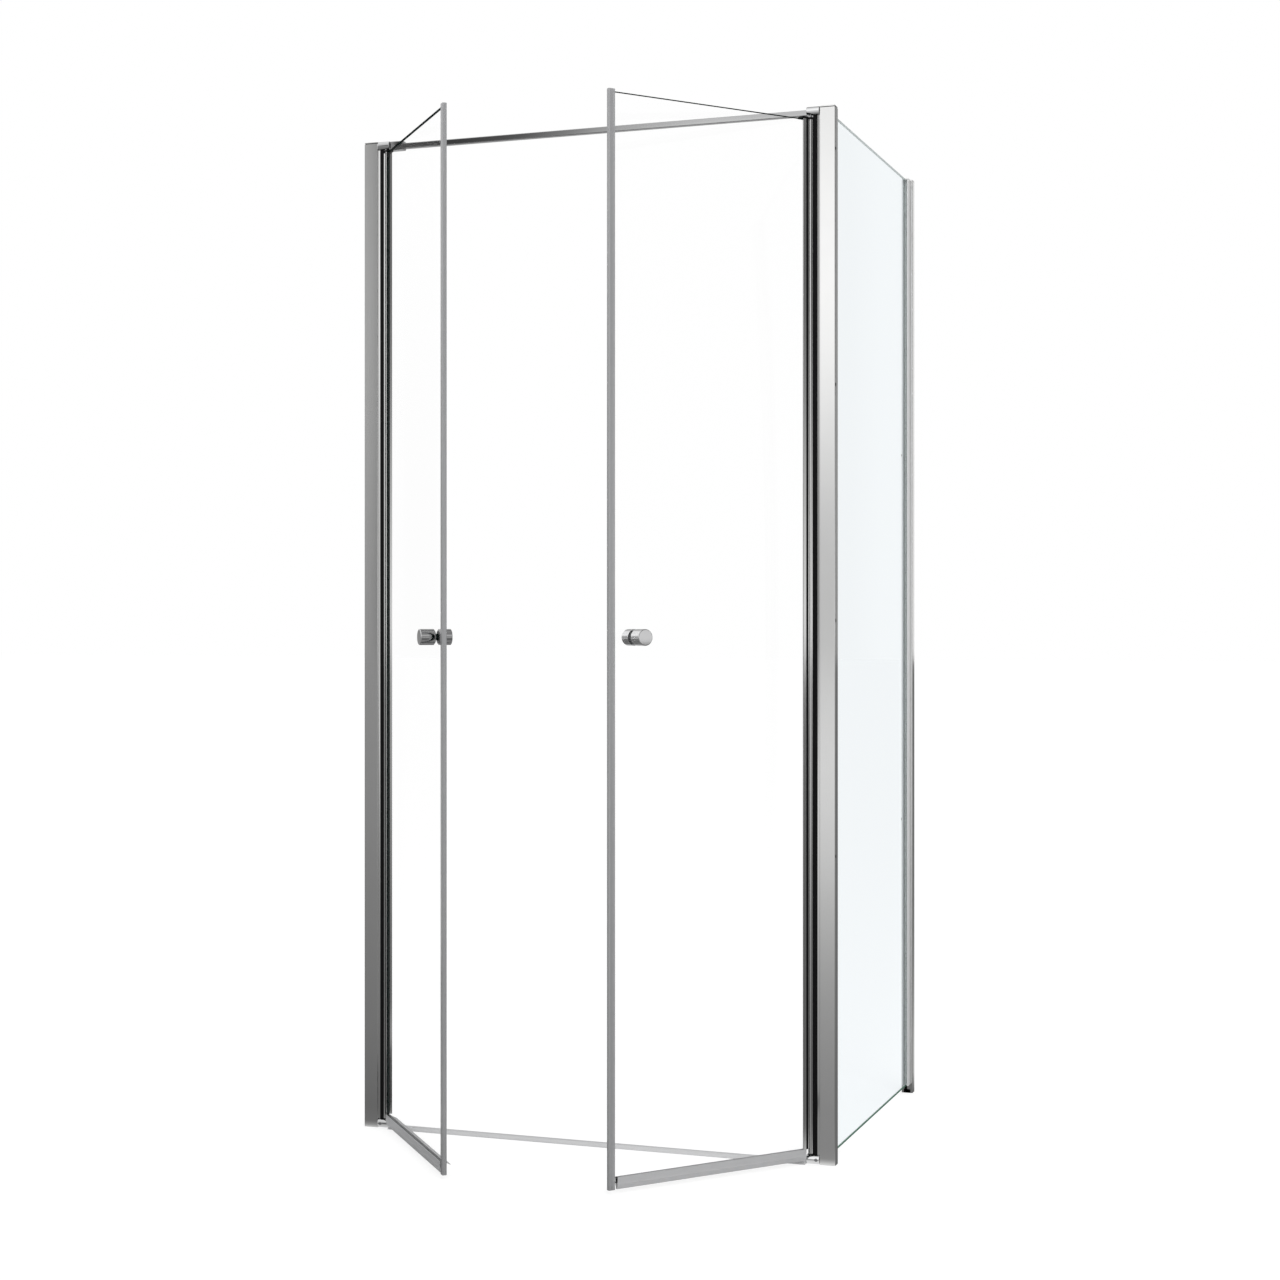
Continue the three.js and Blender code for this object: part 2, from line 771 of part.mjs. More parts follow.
function glazingGasket(hand) {
  const s = (distance) => hand * distance;
  const base = clampStart + clampWeb + seatGap;
  const outer = clampGroove - seatGap;
  const slot = outer - glazingWall;
  const section = outline([
    [s(base), -outer],
    [s(clampEnd), -outer],
    [s(clampEnd), -slot],
    [s(base + glazingWall), -slot],
    [s(base + glazingWall), slot],
    [s(clampEnd), slot],
    [s(clampEnd), outer],
    [s(base), outer],
  ]);
  return upright(section, clampFoot, leafGlassTop);
}

function leafGlass(hand) {
  const pane = block(
    hand * leafGlassStart, hand * leafGlassEnd, -glassHalf, glassHalf, leafGlassFoot, leafGlassTop,
  );
  const hole = rodY(
    glassHoleRadius, hand * knobS, -glassHalf - cutOverrun, glassHalf + cutOverrun, knobHeight, fineSides,
  );
  return cut(pane, hole);
}

// Black plate on the top end of the stile, with the bush that turns on the upper pin
function stileTopCap(hand) {
  const plateFoot = leafGlassTop + seatGap;
  const neckHalf = neckThickness / 2;
  const body = joined(
    rodZ(tubeRadius, 0, 0, plateFoot, leafTop, fineSides),
    block(
      hand * (tubeRadius - joinOverlap), hand * (clampStart + joinOverlap),
      -neckHalf, neckHalf, plateFoot, leafTop,
    ),
    block(hand * clampStart, hand * stileCapReach, clampOuterY, clampInnerY, plateFoot, leafTop),
    rodZ(bushRadius, 0, 0, plateFoot - spigotLength, plateFoot + joinOverlap),
  );
  return cut(body, rodZ(bushBore, 0, 0, plateFoot - spigotLength - cutOverrun, leafTop + cutOverrun));
}

function stileFootBush() {
  const foot = bottomBlockHeight + seatGap;
  const head = foot + flangeThickness;
  const body = joined(
    rodZ(tubeRadius, 0, 0, foot, head, fineSides),
    rodZ(bushRadius, 0, 0, head - joinOverlap, head + spigotLength),
  );
  return cut(body, rodZ(bushBore, 0, 0, foot - cutOverrun, head + spigotLength + cutOverrun));
}

// Magnetic seal on the free edge: two legs grip the glass, a hollow nose holds the magnet
function edgeSeal(hand) {
  const s = (distance) => hand * distance;
  const mouth = leafGlassEnd - glassGrip;
  const slotEnd = leafGlassEnd + seatGap;
  const slotHalf = glassHalf + seatGap;
  const shape = outline([
    [s(mouth), -sealHalf],
    [s(leafReach), -sealHalf],
    [s(leafReach), sealHalf],
    [s(mouth), sealHalf],
    [s(mouth), slotHalf],
    [s(slotEnd), slotHalf],
    [s(slotEnd), -slotHalf],
    [s(mouth), -slotHalf],
  ]);
  const nose = [
    [s(slotEnd + sealWall), -slotHalf],
    [s(leafReach - sealWall), -slotHalf],
    [s(leafReach - sealWall), slotHalf],
    [s(slotEnd + sealWall), slotHalf],
  ];
  return hollow(shape, [nose], leafFoot, leafTop);
}

function edgeMagnet(hand) {
  const start = leafGlassEnd + 2 * seatGap + sealWall;
  const end = leafReach - sealWall - seatGap;
  return block(
    hand * start, hand * end, -glassHalf, glassHalf, leafFoot + magnetInset, leafTop - magnetInset,
  );
}

// Drip seal on the bottom edge, with a lip over the threshold and a fin on the shower side
function dripSeal(hand) {
  const slotHalf = glassHalf + seatGap;
  const slotFloor = leafGlassFoot - seatGap;
  const shoulder = slotFloor - dripShoulder;
  const section = outline([
    [-dripLipHalf, leafFoot],
    [dripLipHalf, leafFoot],
    [sealHalf, shoulder],
    [sealHalf, dripSealTop],
    [slotHalf, dripSealTop],
    [slotHalf, slotFloor],
    [-slotHalf, slotFloor],
    [-slotHalf, dripSealTop],
    [-sealHalf, dripSealTop],
    [-sealHalf, shoulder],
  ]);
  const end = leafGlassEnd - glassGrip - seatGap;
  const finTop = dripSealTop - finHeadroom;
  const finRoot = sealHalf - sealWall / 2;
  const fin = outline([
    [finRoot, finTop],
    [finRoot, finTop - finThickness],
    [sealHalf + finReach, finTop - finDrop - finThickness],
    [sealHalf + finReach, finTop - finDrop],
  ]);
  const [bodyA, bodyB] = [hand * dripSealStart, hand * end].sort((a, b) => a - b);
  const [finA, finB] = [hand * finStart, hand * end].sort((a, b) => a - b);
  return joined(alongX(section, bodyA, bodyB), alongX(fin, finA, finB));
}

// Turned knob drawn along +Y from its seat on the washer
function knob(reach) {
  const bore = studRadius + seatGap;
  const neckEnd = knobSeat + knobNeckLength;
  return turned([
    [0, knobSeat + studBoreDepth],
    [bore, knobSeat + studBoreDepth],
    [bore, knobSeat],
    [knobNeckRadius, knobSeat],
    [knobNeckRadius, neckEnd],
    [knobRadius - knobEdge, neckEnd],
    [knobRadius, neckEnd + knobEdge],
    [knobRadius, reach - knobEdge],
    [knobRadius - knobEdge, reach],
    [0, reach],
  ]);
}

// Outer washer with the sleeve that lines the hole in the glass, and the plain inner washer
function sleeveWasher() {
  const bore = studRadius + seatGap;
  const sleeve = bore + sleeveWall;
  const seat = glassHalf + seatGap;
  const sleeveEnd = -glassHalf + 2 * seatGap;
  return turned([
    [bore, sleeveEnd],
    [sleeve, sleeveEnd],
    [sleeve, seat],
    [washerRadius, seat],
    [washerRadius, seat + washerThickness],
    [bore, seat + washerThickness],
    [bore, sleeveEnd],
  ], smallSides);
}

function plainWasher() {
  const bore = studRadius + seatGap;
  const seat = glassHalf + seatGap;
  return turned([
    [bore, seat],
    [washerRadius, seat],
    [washerRadius, seat + washerThickness],
    [bore, seat + washerThickness],
    [bore, seat],
  ], smallSides);
}

function swingingLeaf(side, label) {
  const hand = -side;
  const leaf = new THREE.Group();
  leaf.position.set(side * axisX, 0, 0);
  leaf.rotation.z = side * THREE.MathUtils.degToRad(restOpenDegrees);
  const atKnob = (geometry, outward) => {
    const faced = outward ? geometry.rotateX(Math.PI) : geometry;
    return faced.translate(hand * knobS, 0, knobHeight);
  };
  add(leaf, `${label}_leaf_glass`, leafGlass(hand), clearGlass);
  add(leaf, `${label}_hinge_stile`, stile(hand), polishedAluminium);
  add(leaf, `${label}_glazing_gasket`, glazingGasket(hand), blackRubber);
  add(leaf, `${label}_stile_top_cap`, stileTopCap(hand), blackPlastic);
  add(leaf, `${label}_stile_foot_bush`, stileFootBush(), blackPlastic);
  add(leaf, `${label}_edge_seal`, edgeSeal(hand), softSeal);
  add(leaf, `${label}_edge_magnet`, edgeMagnet(hand), magnetCore);
  add(leaf, `${label}_drip_seal`, dripSeal(hand), softSeal);
  add(leaf, `${label}_outer_knob`, atKnob(knob(outerKnobReach), true), chrome);
  add(leaf, `${label}_inner_knob`, atKnob(knob(innerKnobReach), false), chrome);
  add(leaf, `${label}_outer_washer`, atKnob(sleeveWasher(), true), clearPlastic);
  add(leaf, `${label}_inner_washer`, atKnob(plainWasher(), false), clearPlastic);
  const stud = rodY(studRadius, hand * knobS, -studHalf, studHalf, knobHeight);
  add(leaf, `${label}_knob_stud`, stud, steel);
  enclosure.add(leaf);
}

wallChannel();
wallFrame();
leftLockScrews();
add(enclosure, 'left_frame_cap', profileCap(-1), polishedAluminium);
add(enclosure, 'left_side_gasket', sideGasket(-1), blackRubber);
cornerPost();
postScrews();
add(enclosure, 'corner_post_cap', profileCap(1), polishedAluminium);
add(enclosure, 'right_side_gasket', sideGasket(1), blackRubber);
for (const [side, label] of [[-1, 'left'], [1, 'right']]) {
  topPivotBlock(side, label);
  bottomPivotBlock(side, label);
  pivotPins(side, label);
}
headerBar();
threshold();
fixedPanel();
rearClamp();
rearChannel();
rearCap();
swingingLeaf(-1, 'left');
swingingLeaf(1, 'right');

export default enclosure;
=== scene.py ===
import json
from math import asin, copysign, cos, pi, radians, sin, tan

import bmesh
import bpy
from mathutils import Matrix, Vector


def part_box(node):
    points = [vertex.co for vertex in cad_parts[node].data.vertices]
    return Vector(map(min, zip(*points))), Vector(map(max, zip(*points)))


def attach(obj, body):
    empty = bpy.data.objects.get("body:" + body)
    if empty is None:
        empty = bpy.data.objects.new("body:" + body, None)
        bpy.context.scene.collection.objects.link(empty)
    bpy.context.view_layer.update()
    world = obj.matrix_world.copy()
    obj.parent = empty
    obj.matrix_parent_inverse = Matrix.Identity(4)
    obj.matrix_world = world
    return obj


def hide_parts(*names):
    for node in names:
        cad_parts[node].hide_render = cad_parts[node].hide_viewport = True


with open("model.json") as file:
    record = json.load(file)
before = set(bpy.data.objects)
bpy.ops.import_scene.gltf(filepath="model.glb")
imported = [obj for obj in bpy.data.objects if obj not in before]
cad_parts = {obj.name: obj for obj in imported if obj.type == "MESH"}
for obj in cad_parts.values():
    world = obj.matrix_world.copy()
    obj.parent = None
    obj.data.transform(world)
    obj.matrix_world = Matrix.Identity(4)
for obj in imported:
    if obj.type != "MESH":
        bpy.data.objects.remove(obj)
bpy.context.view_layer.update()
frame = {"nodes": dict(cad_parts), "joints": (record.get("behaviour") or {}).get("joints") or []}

# Camera, solved from the corners of the frame in the photograph
IMAGE_SIZE = 1280
FOCAL_PIXELS = 2172
HORIZON_PIXEL = 626.3
SENSOR_WIDTH = 36
CAMERA_RANGE = 200
CAMERA_PLACE = Vector((1.506, -3.983, 1.017))
CAMERA_YAW = radians(19.4255)

# Sections of the frame
PROFILE_WIDTH = 0.030
PROFILE_WALL = 0.0016
LUG_WIDTH = 0.005
LUG_RECESS = 0.0014
LUG_DEPTH = 0.0096
LUG_TIP = 0.0008
LEAST_FALL = radians(2.6)
MOST_FALL = radians(5.2)
SLOT_DEPTH = 0.003
SLOT_WIDTH = 0.0024
PANEL_INSET = 0.012
GROOVE_DEPTH = 0.012
SEAT_GAP = 0.0003
RUNNING_GAP = 0.00035
SIDES = ((-1, "left"), (1, "right"))

# Screws, pins and what they sit in, with shares of a head's radius and height and of a shank's radius
SCREW_CLEARANCE = 0.0003
HEAD_HEIGHT = 0.002
LOCK_HEAD_HEIGHT = 0.0016
SOCKET_SIDES = 6
DRIVER_SHARE = 0.42
PLUG_SHARE = 1.1
PLUG_EDGE_SHARE = 0.1
SOCKET_FLOOR_SHARE = 0.35
SHANK_SHARE = 0.52
TIP_SHARE = 0.5
POST_HOLE_CLEARANCE = 0.0005
POST_HOLE_OVERRUN = 0.001
BLOCK_OVERRUN = 0.002
RECESS_DEPTH = 0.0026
PIN_BORE = 0.0025
TOP_BORE_DEPTH = 0.0125
BOTTOM_BORE_DEPTH = 0.0123
SPIGOT_RADIUS = 0.0035
GRUB_FROM_END = 0.008

# Glass and the soft profiles that hold it
GLASS_HALF = 0.003
GLASS_ARRIS = 0.0007
GLASS_CORNER = 0.002
GASKET_WALL = 0.0012
GLAZING_WALL = 0.0006
SEAL_WALL = 0.0012
SLOT_HALF = GLASS_HALF + SEAT_GAP
SEAL_HALF = SLOT_HALF + SEAL_WALL
GLASS_GRIP = 0.010
EDGE_SEAL_GRIP = 0.005

# Leaf, measured from its pivot axis
TUBE_RADIUS = 0.0054
TUBE_BORE = 0.0038
NECK_HALF = 0.0016
CLAMP_START = 0.009
CLAMP_WEB = 0.0012
CLAMP_GROOVE = 0.0042
CLAMP_OUTER = -0.0054
CLAMP_INNER = 0.009
GLAZING_START = CLAMP_START + CLAMP_WEB + SEAT_GAP
SHADE_STRIP_END = 0.0139
SHADE_STRIP_DEPTH = 0.0007
SHADE_STRIP_GAP = 0.0001
LIP_END = 0.0205
INNER_FLANGE_END = 0.012
CAP_REACH = 0.023
LEAF_REACH = 0.4425
SEAL_NOSE = 0.008
DRIP_START = 0.013
FIN_START = 0.020
FIN_REACH = 0.012
FIN_DROP = 0.0064
FIN_THICKNESS = 0.0013
FIN_BELOW_RIM = 0.0004
KNOB_FROM_EDGE = 0.0595
KNOB_RADIUS = 0.015
KNOB_NECK_RADIUS = 0.012
KNOB_NECK_LENGTH = 0.0005
KNOB_FOOT_EDGE = 0.0006
KNOB_EDGE = 0.0015
KNOB_BLIND_DEPTH = 0.012
OUTER_KNOB_REACH = 0.033
INNER_KNOB_REACH = 0.028
WASHER_RADIUS = 0.0125
WASHER_THICKNESS = 0.001
SLEEVE_WALL = 0.0024
STUD_RADIUS = 0.003
STUD_GRIP = 0.010
GLASS_HOLE = 0.006

# Rounding of edges, and how finely it is drawn
SOFT_EDGE = 0.0003
HAIR_EDGE = 0.0001
GLAZING_EDGE = 0.00015
THIN_EDGE = 0.0002
SMALL_EDGE = 0.0004
MIDDLE_EDGE = 0.0005
BROAD_EDGE = 0.0006
CAP_SEAM = 0.0008
CAP_INSET = 0.0012
CHANNEL_EDGE = 0.0008
PROFILE_CORNER = 0.0009
BRACKET_HOLE_CORNER = 0.001
BLOCK_EDGE = 0.0011
BAR_CORNER = 0.0015
STRAIGHT_TURN = 0.02
FACING = 0.9
LEAST_STEPS = 2
FEW_STEPS = 3
CORNER_STEPS = 5
ROUND_STEPS = 96
SMALL_STEPS = 40
SHARP_ANGLE = radians(38)


def low(node):
    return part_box(node)[0]


def high(node):
    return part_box(node)[1]


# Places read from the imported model
FRONT_Y = low("corner_post").y
BACK_Y = high("corner_post").y
POST_X = high("corner_post").x
PROFILE_TOP = high("left_frame_profile").z
LUG_FOOT = low("left_side_gasket").z
LUG_TOP = high("left_side_gasket").z
PANEL_X = (low("side_glass").x + high("side_glass").x) / 2
LEAF_FOOT = low("left_edge_seal").z
LEAF_TOP = high("left_edge_seal").z
LEAF_GLASS_FOOT = low("left_leaf_glass").z
LEAF_GLASS_TOP = high("left_leaf_glass").z
CLAMP_FOOT = low("left_glazing_gasket").z
TUBE_FOOT = low("left_hinge_stile").z
DRIP_TOP = high("left_drip_seal").z
KNOB_Z = (low("left_outer_knob").z + high("left_outer_knob").z) / 2
SWING = next(j for j in frame["joints"] if j["child"] == "right_leaf")
AXIS_X = SWING["pos_m"][0]
QUARTER_TURN = 90
REST_OPEN = -SWING["range_deg"][0] - QUARTER_TURN
LEAF_GLASS_END = LEAF_REACH - SEAL_NOSE
KNOB_S = LEAF_REACH - KNOB_FROM_EDGE


def inward(side, distance):
    """The X that lies a distance in from the outer face of a side: -1 is the wall side, 1 the post side."""
    return side * (POST_X - distance)


# Outlines


def turned_left(points):
    """The points in counter-clockwise order."""
    area = sum(a.x * b.y - b.x * a.y for a, b in zip(points, points[1:] + points[:1]))
    return points if area > 0 else points[::-1]


def rounded(corners, radius, steps=CORNER_STEPS):
    """A closed outline with its corners rounded. A corner may hold its own radius as a third value."""
    outline = []
    count = len(corners)
    for i, corner in enumerate(corners):
        here = Vector(corner[:2])
        to_last = Vector(corners[i - 1][:2]) - here
        to_next = Vector(corners[(i + 1) % count][:2]) - here
        own_radius = corner[2] if len(corner) > 2 else radius
        half_angle = to_last.angle(to_next) / 2
        if own_radius <= 0 or pi / 2 - half_angle < STRAIGHT_TURN:
            outline.append(here)
            continue
        reach = min(own_radius / tan(half_angle), to_last.length / 2, to_next.length / 2)
        own_radius = reach * tan(half_angle)
        toward = (to_last.normalized() + to_next.normalized()).normalized()
        centre = here + toward * (own_radius / sin(half_angle))
        spoke = here + to_last.normalized() * reach - centre
        turn = pi - 2 * half_angle
        if to_last.x * to_next.y - to_last.y * to_next.x > 0:
            turn = -turn
        for k in range(steps + 1):
            angle = turn * k / steps
            c, s = cos(angle), sin(angle)
            outline.append(centre + Vector((spoke.x * c - spoke.y * s, spoke.x * s + spoke.y * c)))
    return outline


def arc(radius, start, end, steps, centre=(0, 0)):
    """Corners without rounding from one angle to another, both ends included."""
    angles = [start + (end - start) * k / steps for k in range(steps + 1)]
    return [(centre[0] + radius * cos(a), centre[1] + radius * sin(a), 0) for a in angles]


def circle(radius, steps=ROUND_STEPS, centre=(0, 0)):
    return [Vector(corner[:2]) for corner in arc(radius, 0, 2 * pi, steps, centre)[:-1]]


def both_halves(corners, axis):
    """The corners of one half, then their mirror images across an axis in the opposite order."""
    flip = ((-1, 1), (1, -1))[axis]
    return corners + [(c[0] * flip[0], c[1] * flip[1], *c[2:]) for c in reversed(corners)]


def rectangle(x0, x1, y0, y1, radius=0.0, steps=CORNER_STEPS):
    return rounded([(x0, y0), (x1, y0), (x1, y1), (x0, y1)], radius, steps)


def end_view(lowest, highest, radius, grow=0):
    """The outline of a box in Y and Z, for a piece that runs along X."""
    return rectangle(lowest.y - grow, highest.y + grow, lowest.z - grow, highest.z + grow, radius)


def moved_in(points, distance):
    """The outline moved to the left of its own direction, which is into the material."""
    least_share = 0.3
    result = []
    for i, here in enumerate(points):
        before = (here - points[i - 1]).normalized()
        after = (points[(i + 1) % len(points)] - here).normalized()
        normal_before = Vector((-before.y, before.x))
        normal_after = Vector((-after.y, after.x))
        share = 1 + normal_before.dot(normal_after)
        result.append(here + (normal_before + normal_after) * (distance / max(share, least_share)))
    return result


# Meshes


def prism(outer, start, end, holes=(), edge=SOFT_EDGE, edge_steps=LEAST_STEPS):
    """An outline drawn out along Z, with holes through it and its end edges rounded."""
    rings = [turned_left(list(outer))] + [turned_left(list(hole))[::-1] for hole in holes]
    angles = [pi / 2 * k / edge_steps for k in range(edge_steps + 1)]
    rise = [(edge * (1 - cos(a)), edge * (1 - sin(a))) for a in angles]
    levels = [(start + z, shrink) for z, shrink in rise]
    levels += [(end - z, shrink) for z, shrink in reversed(rise)]
    bm = bmesh.new()
    end_edges = ([], [])
    for ring in rings:
        rows = []
        for z, shrink in levels:
            points = moved_in(ring, shrink) if shrink > 0 else ring
            rows.append([bm.verts.new((p.x, p.y, z)) for p in points])
        for lower, upper in zip(rows, rows[1:]):
            for i in range(len(ring)):
                j = (i + 1) % len(ring)
                bm.faces.new((lower[i], lower[j], upper[j], upper[i]))
        for row, edges in ((rows[0], end_edges[0]), (rows[-1], end_edges[1])):
            edges += [bm.edges.get((row[i], row[(i + 1) % len(row)])) for i in range(len(row))]
        if len(rings) == 1:
            bm.faces.new(rows[0][::-1])
            bm.faces.new(rows[-1])
    if len(rings) > 1:
        for edges in end_edges:
            bmesh.ops.triangle_fill(bm, edges=edges, use_beauty=True)
    bmesh.ops.recalc_face_normals(bm, faces=bm.faces)
    return as_mesh(bm)


def lathe(profile, steps=ROUND_STEPS):
    """Pairs of radius and height turned about Z. The profile starts and ends on the axis, or closes."""
    bm = bmesh.new()
    closed = profile[0][0] > 0
    rows = []
    for radius, z in profile:
        if radius <= 0:
            rows.append([bm.verts.new((0, 0, z))])
        else:
            rows.append([bm.verts.new((p.x, p.y, z)) for p in circle(radius, steps)])
    pairs = list(zip(rows, rows[1:])) + ([(rows[-1], rows[0])] if closed else [])
    for lower, upper in pairs:
        for i in range(steps):
            j = (i + 1) % steps
            a, b = lower[i % len(lower)], lower[j % len(lower)]
            c, d = upper[j % len(upper)], upper[i % len(upper)]
            bm.faces.new(list(dict.fromkeys((a, b, c, d))))
    bmesh.ops.recalc_face_normals(bm, faces=bm.faces)
    return as_mesh(bm)


def turned(corners, radius, steps=ROUND_STEPS, corner_steps=FEW_STEPS):
    """A lathe from a cornered profile whose corners are rounded, except on the axis."""
    corners = [(*c[:2], 0) if c[0] <= 0 else c for c in corners]
    return lathe([(p.x, p.y) for p in rounded(corners, radius, corner_steps)], steps)


def rod(radius, start, end, edge):
    return turned([(0, start), (radius, start), (radius, end), (0, end)], edge, SMALL_STEPS)


def as_mesh(bm):
    mesh = bpy.data.meshes.new("made")
    bm.to_mesh(mesh)
    bm.free()
    return mesh


def combined(*meshes):
    """Several closed meshes as one."""
    bm = bmesh.new()
    for mesh in meshes:
        bm.from_mesh(mesh)
        bpy.data.meshes.remove(mesh)
    return as_mesh(bm)


def placed(mesh, matrix):
    mesh.transform(matrix)
    return mesh


def in_scene(name, data):
    obj = bpy.data.objects.new(name, data)
    bpy.context.scene.collection.objects.link(obj)
    return obj


def drilled(mesh, *tools):
    """The mesh with the tools cut out of it."""
    body, cutter = in_scene("body", mesh), in_scene("cutter", combined(*tools))
    cut = body.modifiers.new("cut", "BOOLEAN")
    cut.operation = "DIFFERENCE"
    cut.solver = "EXACT"
    cut.object = cutter
    graph = bpy.context.evaluated_depsgraph_get()
    result = bpy.data.meshes.new_from_object(body.evaluated_get(graph))
    for obj in (body, cutter):
        bpy.data.objects.remove(obj)
    return result


def axes(x_axis, y_axis, origin=(0, 0, 0)):
    """A matrix that lays a mesh's own X and Y along the given axes."""
    x, y = Vector(x_axis), Vector(y_axis)
    z = x.cross(y)
    matrix = Matrix((x, y, z)).transposed().to_4x4()
    matrix.translation = origin
    return matrix


ALONG_X = axes((0, 1, 0), (0, 0, 1))
IDENTITY = Matrix.Identity(4)


def leaf_place(side):
    """Where a leaf's own frame lies: its origin on the pivot axis, its X along the closed leaf's line."""
    turn = Matrix.Rotation(side * radians(REST_OPEN), 4, "Z")
    return Matrix.Translation((side * AXIS_X, 0, 0)) @ turn


def piece(name, mesh, materials, nodes=(), body="frame", place=IDENTITY):
    """A finished piece of the object that rides on a body and stands for CAD nodes."""
    obj = in_scene(name, mesh)
    mesh.name = name
    materials = materials if isinstance(materials, list) else [materials]
    for material in materials:
        mesh.materials.append(material)
    mesh.shade_smooth()
    mesh.set_sharp_from_angle(angle=SHARP_ANGLE)
    weighted = obj.modifiers.new("flat faces stay flat", "WEIGHTED_NORMAL")
    weighted.keep_sharp = True
    obj.matrix_world = place
    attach(obj, body)
    if nodes:
        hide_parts(*nodes)


def dressed(node, mesh, materials, body="frame", place=IDENTITY):
    """The finished piece for one CAD node."""
    piece(f"{node}_fine", mesh, materials, [node], body, place)


# Materials


class Wires:
    """Short ways to build a tree of nodes. A value is a socket or a plain number."""

    def __init__(self, tree):
        self.tree = tree

    def new(self, kind, inputs=(), **settings):
        """A node with its settings made and its inputs fed, each by its name or its place."""
        node = self.tree.nodes.new(f"ShaderNode{kind}")
        for key, value in settings.items():
            setattr(node, key, value)
        for key, value in dict(inputs).items():
            self.feed(value, node.inputs[key])
        return node

    def feed(self, value, socket):
        if isinstance(value, bpy.types.NodeSocket):
            self.tree.links.new(value, socket)
        else:
            socket.default_value = value

    def math(self, operation, *values):
        return self.new("Math", enumerate(values), operation=operation).outputs["Value"]

    def product(self, first, *others):
        for other in others:
            first = self.math("MULTIPLY", first, other)
        return first

    def ranged(self, source, to_low, to_high, from_low=0.0, from_high=1.0):
        ends = {"From Min": from_low, "From Max": from_high, "To Min": to_low, "To Max": to_high}
        return self.new("MapRange", {"Value": source, **ends}).outputs["Result"]

    def rise(self, source, stretch):
        """0 before a stretch and 1 behind it."""
        return self.ranged(source, 0, 1, *stretch)

    def fall(self, source, stretch):
        return self.ranged(source, 1, 0, *stretch)

    def band(self, source, entry, exit):
        return self.product(self.rise(source, entry), self.fall(source, exit))

    def follow(self, source, stops):
        """A value that runs straight from stop to stop. Each stop is a place and a level."""
        first, last = stops[0][0], stops[-1][0]
        most = max(level for place, level in stops)
        ramp = self.new("ValToRGB", {"Fac": self.ranged(source, 0, 1, first, last)})
        elements = ramp.color_ramp.elements
        for i, (place, level) in enumerate(stops):
            position = (place - first) / (last - first)
            element = elements[i] if i < 2 else elements.new(position)
            element.position = position
            element.color = (level / most, level / most, level / most, 1)
        return self.math("MULTIPLY", ramp.outputs["Color"], most)

    def between(self, share, first, second):
        return self.new("Mix", {0: share, 2: first, 3: second}).outputs[0]

    def mixed(self, share, first, second):
        """The mix of two shader nodes."""
        return self.new("MixShader", enumerate((share, first.outputs[0], second.outputs[0])))

    def glow(self, strength):
        return self.new("Emission", {"Strength": strength})

    def path(self, name):
        return self.new("LightPath").outputs[name]

    def seen_directly(self):
        """1 for rays that show the background itself: from the camera, and through glass."""
        return self.math("MAXIMUM", self.path("Is Camera Ray"), self.path("Is Transmission Ray"))


class Nodes(Wires):
    """A material's Principled shader, and the nodes that feed it from the piece's own coordinates."""

    def __init__(self, name, color, roughness, metallic=0.0, **plain):
        self.material = bpy.data.materials.new(name)
        self.material.use_nodes = True
        super().__init__(self.material.node_tree)
        self.shader = self.tree.nodes["Principled BSDF"]
        plain.update(Base_Color=(*color, 1), Roughness=roughness, Metallic=metallic)
        for socket, value in plain.items():
            self.shader.inputs[socket.replace("_", " ")].default_value = value
        self.color = color
        self.roughness = roughness
        self.coordinates = self.new("TexCoord").outputs["Object"]

    def noise(self, scales):
        """Noise with so many cycles a metre along each axis, so that a pattern may run long one way."""
        place = self.new("Mapping", {"Scale": scales, "Vector": self.coordinates}).outputs["Vector"]
        return self.new("TexNoise", {"Scale": 1, "Detail": NOISE_DETAIL, "Vector": place}).outputs["Fac"]

    def rough(self, source, spread):
        """Roughness that wanders about its plain value by a spread either way."""
        value = self.ranged(source, max(self.roughness - spread, 0), self.roughness + spread)
        self.feed(value, self.shader.inputs["Roughness"])

    def bump(self, source, distance, strength):
        node = self.new("Bump", {"Distance": distance, "Strength": strength, "Height": source})
        self.feed(node.outputs["Normal"], self.shader.inputs["Normal"])

    def axis(self, index):
        return self.new("SeparateXYZ", {"Vector": self.coordinates}).outputs[index]

    def toned(self, source, spread):
        """Base colour that wanders by a share."""
        share = self.ranged(source, 1 - spread, 1 + spread)
        scaled = self.new("VectorMath", {0: self.color, "Scale": share}, operation="SCALE")
        self.feed(scaled.outputs["Vector"], self.shader.inputs["Base Color"])

    def finish(self, node):
        self.feed(node.outputs[0], self.tree.nodes["Material Output"].inputs["Surface"])
        return self.material


# Scales of the patterns, in cycles per metre: fine across a section and long along it
DRAWN = (900, 900, 5)
CLOUDS = (30, 30, 30)
MOULDED = (1400, 1400, 1400)
SMUDGES = (60, 60, 60)
NOISE_DETAIL = 3


def drawn_metal(name, color, roughness, metallic=1.0):
    """An extruded and polished section, with faint lines along its length."""
    made = Nodes(name, color, roughness, metallic)
    lines = made.noise(DRAWN)
    made.rough(lines, roughness * 0.3)
    made.bump(lines, distance=0.000004, strength=0.25)
    made.toned(made.noise(CLOUDS), 0.02)
    return made.material


def cast_chrome(name, color, roughness):
    """Mirror plating with faint smudges and the slight waves of a polished casting."""
    made = Nodes(name, color, roughness, 1.0)
    made.rough(made.noise(SMUDGES), roughness * 0.5)
    made.bump(made.noise(CLOUDS), distance=0.0002, strength=0.1)
    made.toned(made.noise(SMUDGES), 0.02)
    return made.material


def turned_steel(name, color, roughness):
    made = Nodes(name, color, roughness, 1.0)
    grain = made.noise(MOULDED)
    made.rough(grain, 0.08)
    made.bump(grain, distance=0.00002, strength=0.3)
    made.toned(made.noise(SMUDGES), 0.06)
    return made.material


